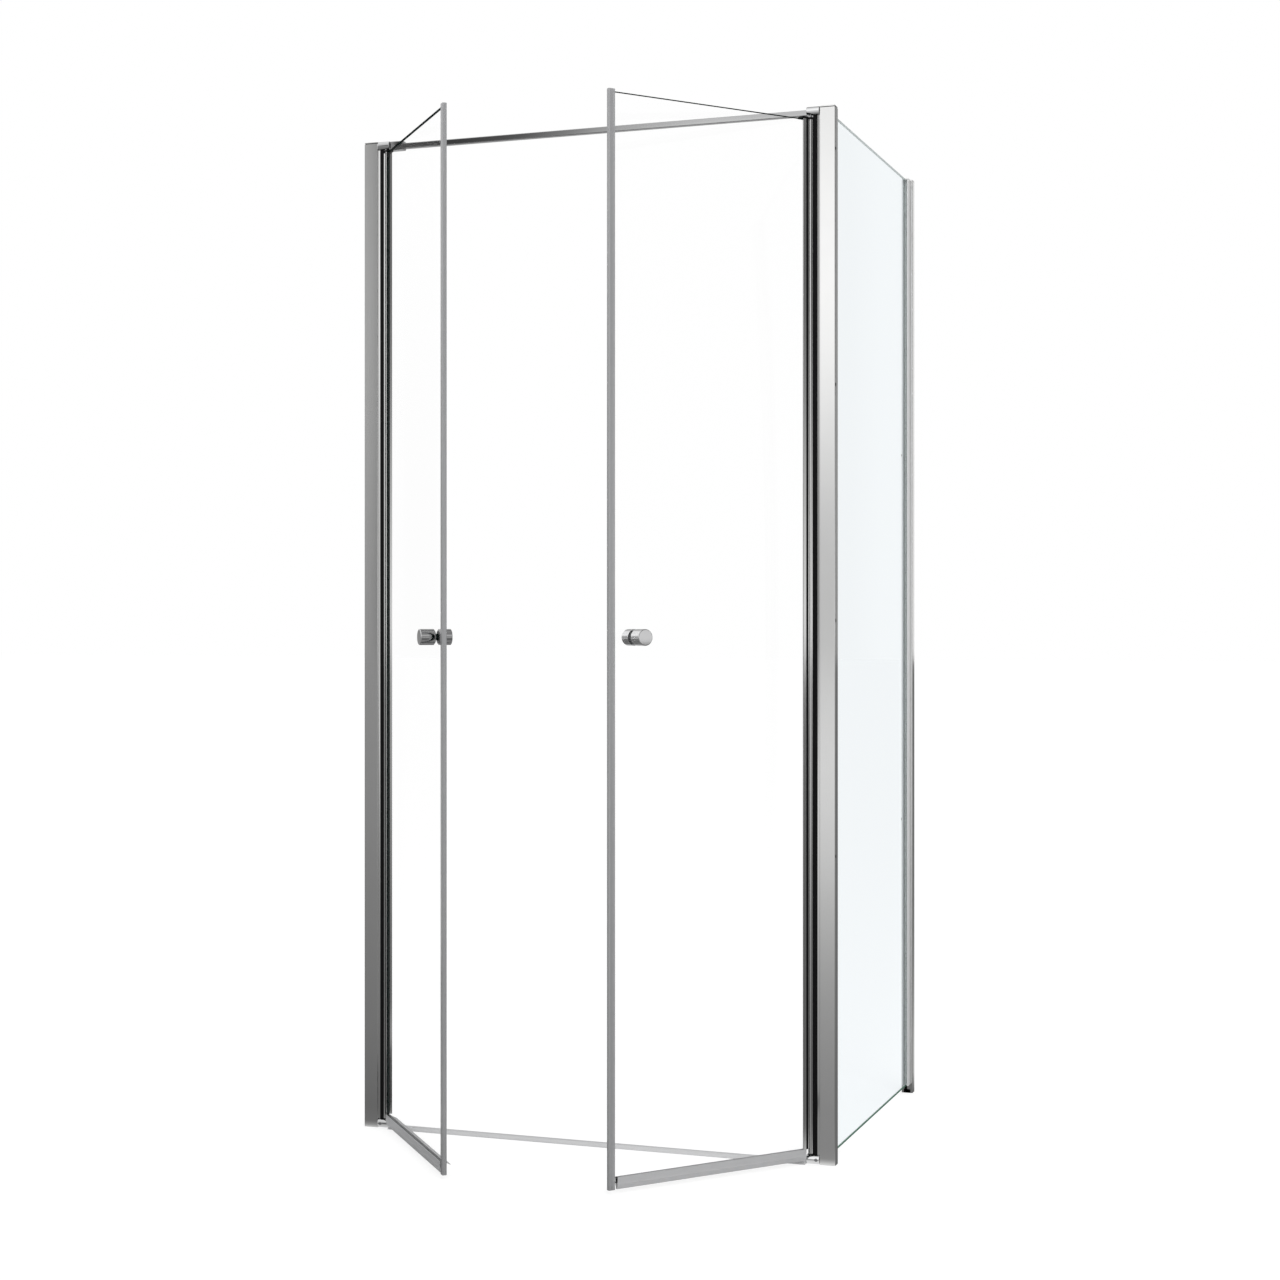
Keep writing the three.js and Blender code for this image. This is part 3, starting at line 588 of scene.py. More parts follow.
def soft_black(name, color, roughness, scales):
    made = Nodes(name, color, roughness, Specular_IOR_Level=0.15)
    grain = made.noise(scales)
    made.rough(grain, 0.08)
    made.bump(grain, distance=0.00003, strength=0.4)
    made.toned(made.noise(CLOUDS), 0.15)
    return made.material


def clear_sheet(name, color, tint, glassy):
    """A clear pane: light goes straight through it, tinted, and a small share is bent and mirrored."""
    made = Nodes(name, color, 0.0, Transmission_Weight=1.0, IOR=1.5)
    made.rough(made.noise(SMUDGES), 0.01)
    clear = made.new("BsdfTransparent", {"Color": (*tint, 1)})
    return made.finish(made.mixed(glassy, clear, made.shader))


def glass_edge(name, color, roughness, clearness):
    """The ground edge of a pane, which shows the glass's depth as dark green."""
    made = Nodes(name, color, roughness, Transmission_Weight=clearness, IOR=1.5, Specular_IOR_Level=0.0)
    made.rough(made.noise(DRAWN[::-1]), roughness * 0.4)
    made.toned(made.noise(SMUDGES), 0.12)
    return made.material


def soft_clear(name, color, roughness, opacity, metallic=0.0):
    """Milky vinyl: each of its thin walls hides a share of what is behind it."""
    made = Nodes(name, color, roughness, metallic, Alpha=opacity, IOR=1.5)
    made.rough(made.noise(DRAWN), 0.06)
    made.bump(made.noise(DRAWN), distance=0.00002, strength=0.3)
    made.toned(made.noise(CLOUDS), 0.04)
    return made.material


def magnet_strip(name, color):
    made = Nodes(name, color, 0.7)
    grain = made.noise(MOULDED)
    made.rough(grain, 0.1)
    made.toned(grain, 0.2)
    return made.material


MILL_ALUMINIUM = drawn_metal("mill_aluminium", (0.55, 0.56, 0.57), 0.34)
POLISHED = drawn_metal("polished_section", (0.9, 0.9, 0.895), 0.09)
SATIN = drawn_metal("satin_section", (0.4, 0.402, 0.405), 0.6, 0.1)
BAR_METAL = drawn_metal("bar_metal", (0.55, 0.552, 0.555), 0.04)
REAR_METAL = drawn_metal("rear_metal", (0.93, 0.93, 0.93), 0.3, 0.3)
CHROME = cast_chrome("cast_chrome", (0.86, 0.865, 0.87), 0.04)
KNOB_CHROME = cast_chrome("knob_chrome", (0.8, 0.8, 0.805), 0.06)
STEEL = turned_steel("turned_steel", (0.42, 0.42, 0.43), 0.28)
BLACK_STEEL = turned_steel("blackened_steel", (0.03, 0.03, 0.031), 0.4)
RUBBER = soft_black("black_rubber", (0.004, 0.004, 0.0045), 0.5, DRAWN)
BLACK_PLASTIC = soft_black("black_plastic", (0.006, 0.006, 0.0065), 0.36, MOULDED)
LEAF_GLASS = clear_sheet("leaf_glass", (0.98, 1.0, 0.99), (1.0, 1.0, 1.0), 0.02)
SIDE_GLASS = clear_sheet("side_glass", (0.97, 0.98, 0.98), (0.955, 0.972, 0.980), 0.03)
DARK_EDGE = glass_edge("leaf_glass_edge", (0.003, 0.01, 0.009), 0.3, 0.0)
GREEN_EDGE = glass_edge("panel_glass_edge", (0.10, 0.19, 0.14), 0.3, 0.0)
PALE_EDGE = glass_edge("panel_top_edge", (0.86, 0.9, 0.88), 0.3, 0.2)
SEAL = soft_clear("soft_seal", (0.50, 0.503, 0.512), 0.22, 0.8, 0.35)
SILL_METAL = drawn_metal("threshold_metal", (0.74, 0.742, 0.75), 0.4, 0.4)
DRIP_VINYL = soft_clear("drip_seal", (0.56, 0.563, 0.572), 0.35, 0.85)
CLEAR_VINYL = soft_clear("clear_vinyl", (0.85, 0.86, 0.86), 0.2, 0.45)
# The washers are clear plastic, but darkened to a dark grey that is painted shade for the knobs' necks.
CLEAR_PLASTIC_SHADED = soft_clear("clear_plastic", (0.2, 0.205, 0.21), 0.15, 0.7)
MAGNET = magnet_strip("magnet_core", (0.2, 0.2, 0.205))


def edges_by_normal(mesh, axis, upper=1, lower=1):
    """Gives the faces that don't face along an axis the pane's edge materials."""
    for face in mesh.polygons:
        if abs(face.normal[axis]) < FACING:
            face.material_index = lower if face.normal.z < -FACING else upper


# Screws


def socket_screw(radius, height, shank_radius, shank_length):
    """A low screw head with a six-sided socket, standing on Z = 0, and its shank below."""
    driver = radius * DRIVER_SHARE
    floor = height * SOCKET_FLOOR_SHARE
    socket = circle(driver, SOCKET_SIDES)
    head = prism(circle(radius, SMALL_STEPS), 0, height, [socket], floor, FEW_STEPS)
    plug_outline = circle(driver * PLUG_SHARE, SOCKET_SIDES)
    plug = prism(plug_outline, 0, floor, edge=floor * PLUG_EDGE_SHARE, edge_steps=1)
    tip = shank_radius * TIP_SHARE
    shank = turned([
        (0, -shank_length), (shank_radius - tip, -shank_length), (shank_radius, -shank_length + tip),
        (shank_radius, floor / 2), (0, floor / 2),
    ], 0.0, SMALL_STEPS)
    return combined(head, plug, shank)


def fitted_screw(node, facing, head_height, material=STEEL):
    """A socket screw in the place of a CAD screw: facing is the way its head looks."""
    lowest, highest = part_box(node)
    index = max(range(3), key=lambda i: abs(facing[i]))
    across = (index + 1) % 3
    seat = (lowest + highest) / 2
    radius = (highest[across] - lowest[across]) / 2
    outward = facing[index]
    seat[index] = (highest if outward > 0 else lowest)[index] - outward * head_height
    length = highest[index] - lowest[index] - head_height
    up = Vector((0, 0, 1))
    mesh = socket_screw(radius, head_height, radius * SHANK_SHARE, length)
    dressed(node, placed(mesh, axes(up.cross(Vector(facing)), up, seat)), material)


# Frame


def lug_mesh(side):
    """The narrow lug beside the hinge tube, with the slot for its gasket and a front that falls back."""
    root = inward(side, PROFILE_WIDTH - SOFT_EDGE)
    end = inward(side, PROFILE_WIDTH + LUG_WIDTH)
    slot = inward(side, PROFILE_WIDTH + LUG_WIDTH - SLOT_DEPTH)
    front = FRONT_Y + LUG_RECESS
    back = front + LUG_DEPTH
    slot_low = front + PROFILE_WALL
    slot_high = slot_low + SLOT_WIDTH
    steps = 6
    corners = []
    fall = 0
    for k in range(steps + 1):
        share = k / steps
        corners.append((root + (end - root) * share, front + fall, 0 if k < steps else LUG_TIP))
        fall += LUG_WIDTH / steps * tan(LEAST_FALL + (MOST_FALL - LEAST_FALL) * share)
    corners += [
        (end, slot_low), (slot, slot_low), (slot, slot_high), (end, slot_high), (end, back), (root, back),
    ]
    return prism(rounded(corners, SOFT_EDGE, FEW_STEPS), LUG_FOOT, LUG_TOP)


def wall_frame():
    outer = low("left_frame_profile").x
    inner = inward(-1, PROFILE_WIDTH)
    wall = PROFILE_WALL
    corners = [
        (outer, FRONT_Y, SOFT_EDGE), (inner, FRONT_Y, PROFILE_CORNER), (inner, BACK_Y, PROFILE_CORNER),
        (outer, BACK_Y, SOFT_EDGE), (outer, BACK_Y - wall, SOFT_EDGE), (inner - wall, BACK_Y - wall),
        (inner - wall, FRONT_Y + wall), (outer, FRONT_Y + wall, SOFT_EDGE),
    ]
    section = prism(rounded(corners, SOFT_EDGE), 0, PROFILE_TOP)
    piece("wall_frame_fine", combined(section, lug_mesh(-1)), POLISHED, ["left_frame_profile"])


def corner_post():
    def x(distance):
        return inward(1, distance)

    wall = PROFILE_WALL
    groove_half = GLASS_HALF + GASKET_WALL + 2 * SEAT_GAP
    near, far = PANEL_INSET - groove_half, PANEL_INSET + groove_half
    floor = BACK_Y - GROOVE_DEPTH
    corners = [
        (x(0), FRONT_Y), (x(0), BACK_Y), (x(near), BACK_Y, SOFT_EDGE), (x(near), floor, SOFT_EDGE),
        (x(far), floor, SOFT_EDGE), (x(far), BACK_Y, SOFT_EDGE), (x(PROFILE_WIDTH), BACK_Y),
        (x(PROFILE_WIDTH), FRONT_Y),
    ]
    front, back = FRONT_Y + wall, BACK_Y - wall
    screw_chamber = rectangle(x(near - wall), x(wall), front, back, SOFT_EDGE, LEAST_STEPS)
    main_chamber = rounded([
        (x(near), front), (x(near), floor - wall), (x(far + wall), floor - wall), (x(far + wall), back),
        (x(PROFILE_WIDTH - wall), back), (x(PROFILE_WIDTH - wall), front),
    ], SOFT_EDGE, LEAST_STEPS)
    body = prism(rounded(corners, PROFILE_CORNER), 0, PROFILE_TOP, [screw_chamber, main_chamber])
    screws = sorted(n for n in frame["nodes"] if n.startswith("post_screw_"))
    tools = []
    for node in screws:
        lowest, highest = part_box(node)
        centre = (lowest + highest) / 2
        radius = (highest.y - lowest.y) / 2 + POST_HOLE_CLEARANCE
        hole = prism(circle(radius, SMALL_STEPS), x(wall + POST_HOLE_OVERRUN), x(-POST_HOLE_OVERRUN))
        tools.append(placed(hole, Matrix.Translation((0, centre.y, centre.z)) @ ALONG_X))
    dressed("corner_post", combined(drilled(body, *tools), lug_mesh(1)), POLISHED)
    for node in screws:
        fitted_screw(node, (1, 0, 0), HEAD_HEIGHT, BLACK_STEEL)


def profile_caps():
    """The plates on the two front profiles, each on a black strip in the seam under it: the strip is
    painted shade for that seam.
    """
    for node in ("left_frame_cap", "corner_post_cap"):
        lowest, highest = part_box(node)
        seam_top = lowest.z + CAP_SEAM
        plate = rectangle(lowest.x, highest.x, lowest.y, highest.y, PROFILE_CORNER)
        dressed(node, prism(plate, seam_top, highest.z, edge=BROAD_EDGE, edge_steps=4), POLISHED)
        seam = rectangle(
            lowest.x + CAP_INSET, highest.x - CAP_INSET, lowest.y + CAP_INSET, highest.y - CAP_INSET,
            PROFILE_CORNER,
        )
        # The piece named gasket is a black strip that is painted shade: it stands for the shadow in the
        # seam under the plate.
        piece(f"{node}_gasket", prism(seam, lowest.z, seam_top, edge=HAIR_EDGE), RUBBER)


def side_gaskets():
    """The black strips between the lugs and the hinge tubes, hollowed to the tubes' round."""
    contact = TUBE_RADIUS + RUNNING_GAP
    face = POST_X - AXIS_X - PROFILE_WIDTH - LUG_WIDTH - SEAT_GAP
    tongue = face + SLOT_DEPTH
    slot_low = FRONT_Y + LUG_RECESS + PROFILE_WALL + SEAT_GAP
    slot_high = slot_low + SLOT_WIDTH - 2 * SEAT_GAP
    steps = 16
    for side, label in SIDES:
        node = f"{label}_side_gasket"
        low_y, high_y = low(node).y, high(node).y
        hollow = (asin(high_y / contact), asin(max(low_y / contact, -1)))
        corners = [(tongue, slot_low), (tongue, slot_high), (face, slot_high), (face, high_y, BROAD_EDGE)]
        corners += arc(contact, *hollow, steps) + [(face, low_y, BROAD_EDGE), (face, slot_low)]
        outline = rounded([(side * (AXIS_X + c[0]), *c[1:]) for c in corners], THIN_EDGE, LEAST_STEPS)
        dressed(node, prism(outline, LUG_FOOT, LUG_TOP), RUBBER)


def block_outline(lowest, highest):
    """A half-round nose in front and a flat back, in Y and Z."""
    radius = (highest.z - lowest.z) / 2
    centre = (lowest.y + radius, lowest.z + radius)
    nose = arc(radius, pi / 2, 3 * pi / 2, SMALL_STEPS, centre)
    return rounded(nose + [(highest.y, lowest.z), (highest.y, highest.z)], BLOCK_EDGE)


def cast_block(node, *tools):
    """A pivot block with the tools cut out of it."""
    lowest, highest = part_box(node)
    body = prism(block_outline(lowest, highest), lowest.x, highest.x, edge=BLOCK_EDGE, edge_steps=5)
    dressed(node, drilled(placed(body, ALONG_X), *tools), CHROME)


def pivot_blocks():
    bar_low, bar_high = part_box("header_bar")
    for side, label in SIDES:
        axis = Matrix.Translation((side * AXIS_X, 0, 0))
        pin_round = circle(PIN_BORE, SMALL_STEPS)

        node = f"{label}_top_pivot_block"
        foot = low(node).z
        hole = end_view(bar_low, bar_high, PROFILE_CORNER, SEAT_GAP)
        pocket = prism(hole, bar_low.x - SEAT_GAP, bar_high.x + SEAT_GAP)
        bore = prism(pin_round, foot - BLOCK_OVERRUN, foot + TOP_BORE_DEPTH)
        cast_block(node, placed(pocket, ALONG_X), placed(bore, axis))

        node = f"{label}_bottom_pivot_block"
        screw = f"{label}_block_screw"
        screw_low, screw_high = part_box(screw)
        centre = (screw_low + screw_high) / 2
        centre.y = screw_low.y - BLOCK_OVERRUN
        radius = (screw_high.x - screw_low.x) / 2 + SCREW_CLEARANCE
        recess = prism(circle(radius, SMALL_STEPS), 0, BLOCK_OVERRUN + RECESS_DEPTH, edge=THIN_EDGE)
        crown = high(node).z
        bore = prism(pin_round, crown - BOTTOM_BORE_DEPTH, crown + BLOCK_OVERRUN)
        cast_block(node, placed(recess, axes((1, 0, 0), (0, 0, -1), centre)), placed(bore, axis))
        fitted_screw(screw, (0, -1, 0), HEAD_HEIGHT)

        for end in ("top", "bottom"):
            node = f"{label}_{end}_pivot_pin"
            lowest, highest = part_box(node)
            pin = rod((highest.x - lowest.x) / 2, lowest.z, highest.z, MIDDLE_EDGE)
            dressed(node, placed(pin, axis), STEEL)


def header_bar():
    lowest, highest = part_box("header_bar")
    bar = prism(end_view(lowest, highest, BAR_CORNER), lowest.x, highest.x, edge=SMALL_EDGE)
    dressed("header_bar", bar, BAR_METAL, place=ALONG_X)

    outer_low, outer_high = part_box("header_bar_bracket")
    hole = end_view(lowest, highest, BRACKET_HOLE_CORNER, SEAT_GAP)
    sleeve = prism(
        end_view(outer_low, outer_high, BAR_CORNER), outer_low.x, outer_high.x, [hole], MIDDLE_EDGE,
        FEW_STEPS,
    )
    dressed("header_bar_bracket", sleeve, BAR_METAL, place=ALONG_X)
    grub = socket_screw(radius=0.0021, height=0.0005, shank_radius=0.0015, shank_length=0.001)
    seat = (outer_low.x + GRUB_FROM_END, outer_low.y, (outer_low.z + outer_high.z) / 2)
    piece("bracket_grub_screw", placed(grub, axes((1, 0, 0), (0, 0, 1), seat)), STEEL)


def threshold():
    """A low strip whose flat crown falls to a lip on both sides."""
    lowest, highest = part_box("threshold_strip")
    crown = 0.005
    crown_edge = 0.0012
    lip = 0.0015
    corners = both_halves([(highest.y, lowest.z), (highest.y, lip), (crown, highest.z, crown_edge)], 0)
    strip = prism(rounded(corners, SOFT_EDGE), lowest.x, highest.x)
    dressed("threshold_strip", strip, SILL_METAL, place=ALONG_X)


# Fixed panel


def about_panel(corners, radius):
    """A rounded outline from the corners of its right half, given from the middle of the fixed glass."""
    return rounded([(PANEL_X + c[0], *c[1:]) for c in both_halves(corners, 0)], radius, FEW_STEPS)


def side_panel():
    lowest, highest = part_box("side_glass")
    pane = prism(
        end_view(lowest, highest, GLASS_CORNER), lowest.x, highest.x, edge=GLASS_ARRIS, edge_steps=1,
    )
    placed(pane, ALONG_X)
    edges_by_normal(pane, 0, upper=2, lower=1)
    dressed("side_glass", pane, [SIDE_GLASS, GREEN_EDGE, PALE_EDGE])

    half = GLASS_HALF + GASKET_WALL + SEAT_GAP
    slot = GLASS_HALF + SEAT_GAP
    for node, material, opens_back in (
        ("side_glass_front_gasket", RUBBER, True), ("side_glass_rear_gasket", CLEAR_VINYL, False),
    ):
        lowest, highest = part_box(node)
        mouth, base = (highest.y, lowest.y) if opens_back else (lowest.y, highest.y)
        floor = base + copysign(GASKET_WALL, mouth - base)
        corners = [(half, base), (half, mouth), (slot, mouth), (slot, floor)]
        dressed(node, prism(about_panel(corners, SMALL_EDGE), lowest.z, highest.z), material)


def rear_profiles():
    """The clamp on the fixed glass's rear edge, the channel that it slides in, and the cap on both."""
    wall = PROFILE_WALL
    lowest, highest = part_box("side_clamp_profile")
    half = (highest.x - lowest.x) / 2
    groove = GLASS_HALF + GASKET_WALL + 2 * SEAT_GAP
    front, back = lowest.y, highest.y
    floor = front + GROOVE_DEPTH
    corners = [(groove, floor), (groove, front), (half, front, BROAD_EDGE), (half, back)]
    chamber = rectangle(
        PANEL_X - half + wall, PANEL_X + half - wall, floor + wall, back - wall, SOFT_EDGE, LEAST_STEPS,
    )
    clamp = prism(about_panel(corners, SOFT_EDGE), lowest.z, highest.z, [chamber])
    piece("side_clamp_fine", clamp, REAR_METAL, ["side_clamp_profile"])

    lowest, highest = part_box("rear_wall_channel")
    outer = (highest.x - lowest.x) / 2
    inner = outer - wall
    mouth = half + SEAT_GAP
    front, rear = lowest.y, highest.y
    corners = [
        (inner, rear - wall), (inner, front + wall), (mouth, front + wall), (mouth, front),
        (outer, front, CHANNEL_EDGE), (outer, rear),
    ]
    channel = prism(about_panel(corners, SOFT_EDGE), lowest.z, highest.z)
    piece("rear_channel_fine", channel, POLISHED, ["rear_wall_channel"])

    lowest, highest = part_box("rear_profile_cap")
    corners = [(half, lowest.y), (half, front), (outer, front), (outer, highest.y)]
    cap = prism(about_panel(corners, MIDDLE_EDGE), lowest.z, highest.z, edge=BROAD_EDGE, edge_steps=3)
    dressed("rear_profile_cap", cap, REAR_METAL)
    for i in (1, 2):
        fitted_screw(f"rear_lock_screw_{i}", (-1, 0, 0), LOCK_HEAD_HEIGHT)
        fitted_screw(f"left_lock_screw_{i}", (0, 1, 0), LOCK_HEAD_HEIGHT)


# Leaves


def handed(hand, corners, radius, steps=FEW_STEPS):
    """A rounded outline whose corners are given along a leaf, away from its pivot axis.

    Hand is the sign of that way in the leaf's own frame. Below, ride is a leaf's body and place.
    """
    return rounded([(hand * c[0], *c[1:]) for c in corners], radius, steps)


def span(hand, start, end):
    return sorted((hand * start, hand * end))


def tube_and_neck(hand, tail):
    """The round of the hinge tube from one side of its neck to the other, then the tail's corners."""
    half_angle = asin(NECK_HALF / TUBE_RADIUS)
    tube = arc(TUBE_RADIUS, half_angle, 2 * pi - half_angle, ROUND_STEPS)
    return handed(hand, tube + tail, SOFT_EDGE)


def leaf_pane(hand, label, ride):
    start = GLAZING_START + GLAZING_WALL + SEAT_GAP
    hole = circle(GLASS_HOLE, SMALL_STEPS, (KNOB_S, KNOB_Z))
    outline = rectangle(start, LEAF_GLASS_END, LEAF_GLASS_FOOT, LEAF_GLASS_TOP, GLASS_CORNER)
    pane = prism(outline, -GLASS_HALF, GLASS_HALF, [hole], edge=GLASS_ARRIS, edge_steps=1)
    placed(pane, axes((hand, 0, 0), (0, 0, 1)))
    edges_by_normal(pane, 1)
    dressed(f"{label}_leaf_glass", pane, [LEAF_GLASS, DARK_EDGE], *ride)


def hinge_stile(hand, label, ride):
    """The hinge tube with its clamp, a black strip in its groove that is painted shade for the groove, and
    the gasket round the glass.
    """
    shade_strip_seat = CLAMP_OUTER + SHADE_STRIP_DEPTH
    web_end = CLAMP_START + CLAMP_WEB
    tail = [
        (CLAMP_START, -NECK_HALF), (CLAMP_START, shade_strip_seat), (SHADE_STRIP_END, shade_strip_seat, HAIR_EDGE),
        (SHADE_STRIP_END, CLAMP_OUTER), (LIP_END, CLAMP_OUTER), (LIP_END, -CLAMP_GROOVE),
        (web_end, -CLAMP_GROOVE), (web_end, CLAMP_GROOVE), (INNER_FLANGE_END, CLAMP_GROOVE),
        (INNER_FLANGE_END, CLAMP_INNER), (CLAMP_START, CLAMP_INNER), (CLAMP_START, NECK_HALF),
    ]
    bore = circle(TUBE_BORE, SMALL_STEPS)
    section = prism(tube_and_neck(hand, tail), CLAMP_FOOT, LEAF_GLASS_TOP, [bore])
    foot = prism(circle(TUBE_RADIUS), TUBE_FOOT, CLAMP_FOOT + SOFT_EDGE, [bore])
    mesh = combined(section, foot)
    for face in mesh.polygons:
        face.material_index = int(abs(face.center.x) > SHADE_STRIP_END and face.normal.y < -FACING)
    dressed(f"{label}_hinge_stile", mesh, [POLISHED, SATIN], *ride)

    # The black strip that fills the clamp's groove is painted shade: it stands for the groove's shadow.
    start, end = CLAMP_START + SHADE_STRIP_GAP, SHADE_STRIP_END - SHADE_STRIP_GAP
    seat = shade_strip_seat - SHADE_STRIP_GAP
    corners = [
        (start, CLAMP_OUTER, SMALL_EDGE), (start, seat), (end, seat), (end, CLAMP_OUTER, SOFT_EDGE),
    ]
    outline = handed(hand, corners, HAIR_EDGE / 2, LEAST_STEPS)
    shade_strip = prism(outline, CLAMP_FOOT, LEAF_GLASS_TOP, edge=HAIR_EDGE)
    piece(f"{label}_stile_shade_strip", shade_strip, RUBBER, (), *ride)

    outer = CLAMP_GROOVE - SEAT_GAP
    inner = outer - GLAZING_WALL
    wall_end = GLAZING_START + GLAZING_WALL
    corners = [
        (GLAZING_START, -outer), (LIP_END, -outer), (LIP_END, -inner), (wall_end, -inner),
        (wall_end, inner), (INNER_FLANGE_END, inner), (INNER_FLANGE_END, outer), (GLAZING_START, outer),
    ]
    outline = handed(hand, corners, GLAZING_EDGE, LEAST_STEPS)
    gasket = prism(outline, CLAMP_FOOT, LEAF_GLASS_TOP, edge=GLAZING_EDGE)
    dressed(f"{label}_glazing_gasket", gasket, RUBBER, *ride)


def stile_ends(hand, label, ride):
    """The black plate with its spigot on the stile's top, and the bush in its foot."""
    tail = [
        (CLAMP_START, -NECK_HALF, 0), (CLAMP_START, CLAMP_OUTER), (CAP_REACH, CLAMP_OUTER),
        (CAP_REACH, CLAMP_INNER), (CLAMP_START, CLAMP_INNER), (CLAMP_START, NECK_HALF, 0),
    ]
    node = f"{label}_stile_top_cap"
    bore = circle(PIN_BORE, SMALL_STEPS)
    plate_foot = LEAF_GLASS_TOP + SEAT_GAP
    plate = prism(tube_and_neck(hand, tail), plate_foot, high(node).z, [bore], SMALL_EDGE, FEW_STEPS)
    spigot = prism(circle(SPIGOT_RADIUS, SMALL_STEPS), low(node).z, plate_foot + SOFT_EDGE, [bore])
    dressed(node, combined(plate, spigot), BLACK_PLASTIC, *ride)

    node = f"{label}_stile_foot_bush"
    lowest, highest = low(node).z, high(node).z
    flange_top = TUBE_FOOT - SEAT_GAP
    bush = turned([
        (PIN_BORE, lowest), (TUBE_RADIUS, lowest), (TUBE_RADIUS, flange_top), (SPIGOT_RADIUS, flange_top),
        (SPIGOT_RADIUS, highest), (PIN_BORE, highest),
    ], SOFT_EDGE)
    dressed(node, bush, BLACK_PLASTIC, *ride)


def edge_seal(hand, label, ride):
    """The soft strip on the free edge: a slot on the glass, and a chamber with the magnet in its nose."""
    mouth = LEAF_GLASS_END - EDGE_SEAL_GRIP
    slot_end = LEAF_GLASS_END + SEAT_GAP
    nose_half = 0.0027
    shoulder = LEAF_REACH - 0.0022
    rim, bend, tip = 0.0005, 0.0008, 0.0004
    corners = both_halves([
        (LEAF_REACH, nose_half, tip), (shoulder, SEAL_HALF, bend), (mouth, SEAL_HALF, rim),
        (mouth, SLOT_HALF), (slot_end, SLOT_HALF),
    ], 1)
    inside = span(hand, slot_end + SEAL_WALL, LEAF_REACH - SEAL_WALL)
    chamber = rectangle(*inside, -SLOT_HALF, SLOT_HALF, SMALL_EDGE, FEW_STEPS)
    outline = handed(hand, corners, THIN_EDGE, steps=4)
    strip = prism(outline, LEAF_FOOT, LEAF_TOP, [chamber], rim, FEW_STEPS)
    dressed(f"{label}_edge_seal", strip, SEAL, *ride)

    node = f"{label}_edge_magnet"
    inside = span(hand, slot_end + SEAL_WALL + SEAT_GAP, LEAF_REACH - SEAL_WALL - SEAT_GAP)
    core = rectangle(*inside, -GLASS_HALF, GLASS_HALF, SMALL_EDGE, FEW_STEPS)
    dressed(node, prism(core, low(node).z, high(node).z), MAGNET, *ride)


def drip_seal(hand, label, ride):
    """The soft strip on the bottom edge: a skirt round the glass, and a fin towards the shower."""
    slot_floor = LEAF_GLASS_FOOT - SEAT_GAP
    shoulder = slot_floor - 0.003
    lip = 0.0022
    rim, bend, foot = 0.0005, 0.002, 0.0012
    corners = both_halves([
        (lip, LEAF_FOOT, foot), (SEAL_HALF, shoulder, bend), (SEAL_HALF, DRIP_TOP, rim),
        (SLOT_HALF, DRIP_TOP), (SLOT_HALF, slot_floor),
    ], 0)
    end = LEAF_GLASS_END - GLASS_GRIP - SEAT_GAP
    skirt = prism(rounded(corners, THIN_EDGE, FEW_STEPS), *span(hand, DRIP_START, end))
    fin_top = DRIP_TOP - FIN_BELOW_RIM
    root = SEAL_HALF - SEAL_WALL / 2
    tip = SEAL_HALF + FIN_REACH
    corners = [
        (root, fin_top), (root, fin_top - FIN_THICKNESS), (tip, fin_top - FIN_DROP - FIN_THICKNESS),
        (tip, fin_top - FIN_DROP),
    ]
    fin = prism(rounded(corners, SMALL_EDGE, FEW_STEPS), *span(hand, FIN_START, end))
    dressed(f"{label}_drip_seal", placed(combined(skirt, fin), ALONG_X), DRIP_VINYL, *ride)


def knob_set(hand, label, ride):
    """Both knobs on their washers, and the stud that joins them."""
    seat = SLOT_HALF
    washer_end = seat + WASHER_THICKNESS
    bore = STUD_RADIUS + SEAT_GAP
    knob_seat = washer_end + SEAT_GAP
    neck_end = knob_seat + KNOB_NECK_LENGTH
    blind = knob_seat + KNOB_BLIND_DEPTH
    sleeve = bore + SLEEVE_WALL
    sleeve_end = -GLASS_HALF + 2 * SEAT_GAP
    rim = [(WASHER_RADIUS, seat), (WASHER_RADIUS, washer_end), (bore, washer_end)]
    sleeved = [(bore, sleeve_end), (sleeve, sleeve_end), (sleeve, seat)] + rim
    middle = (hand * KNOB_S, 0, KNOB_Z)
    outward = axes((1, 0, 0), (0, 0, 1), middle)
    inside = axes((-1, 0, 0), (0, 0, 1), middle)
    plain = [(bore, seat)] + rim
    for name, reach, way, washer in (
        ("outer", OUTER_KNOB_REACH, outward, sleeved), ("inner", INNER_KNOB_REACH, inside, plain),
    ):
        knob = turned([
            (0, blind), (bore, blind, 0), (bore, knob_seat, 0), (KNOB_NECK_RADIUS, knob_seat, 0),
            (KNOB_NECK_RADIUS, neck_end, 0), (KNOB_RADIUS, neck_end, KNOB_FOOT_EDGE), (KNOB_RADIUS, reach),
            (0, reach),
        ], KNOB_EDGE, corner_steps=6)
        dressed(f"{label}_{name}_knob", placed(knob, way), KNOB_CHROME, *ride)
        mesh = placed(turned(washer, THIN_EDGE), way)
        dressed(f"{label}_{name}_washer", mesh, CLEAR_PLASTIC_SHADED, *ride)
    half = knob_seat + STUD_GRIP
    stud = placed(rod(STUD_RADIUS, -half, half, SMALL_EDGE), outward)
    dressed(f"{label}_knob_stud", stud, STEEL, *ride)


def leaves():
    for side, label in SIDES:
        ride = (f"{label}_leaf", leaf_place(side))
        for build in (leaf_pane, hinge_stile, stile_ends, edge_seal, drip_seal, knob_set):
            build(-side, label, ride)


def kept_nodes():
    """The one CAD node whose own shape stays is the channel behind the wall frame."""
    channel = frame["nodes"]["left_wall_channel"]
    channel.data.materials.clear()
    channel.data.materials.append(MILL_ALUMINIUM)


# Stage


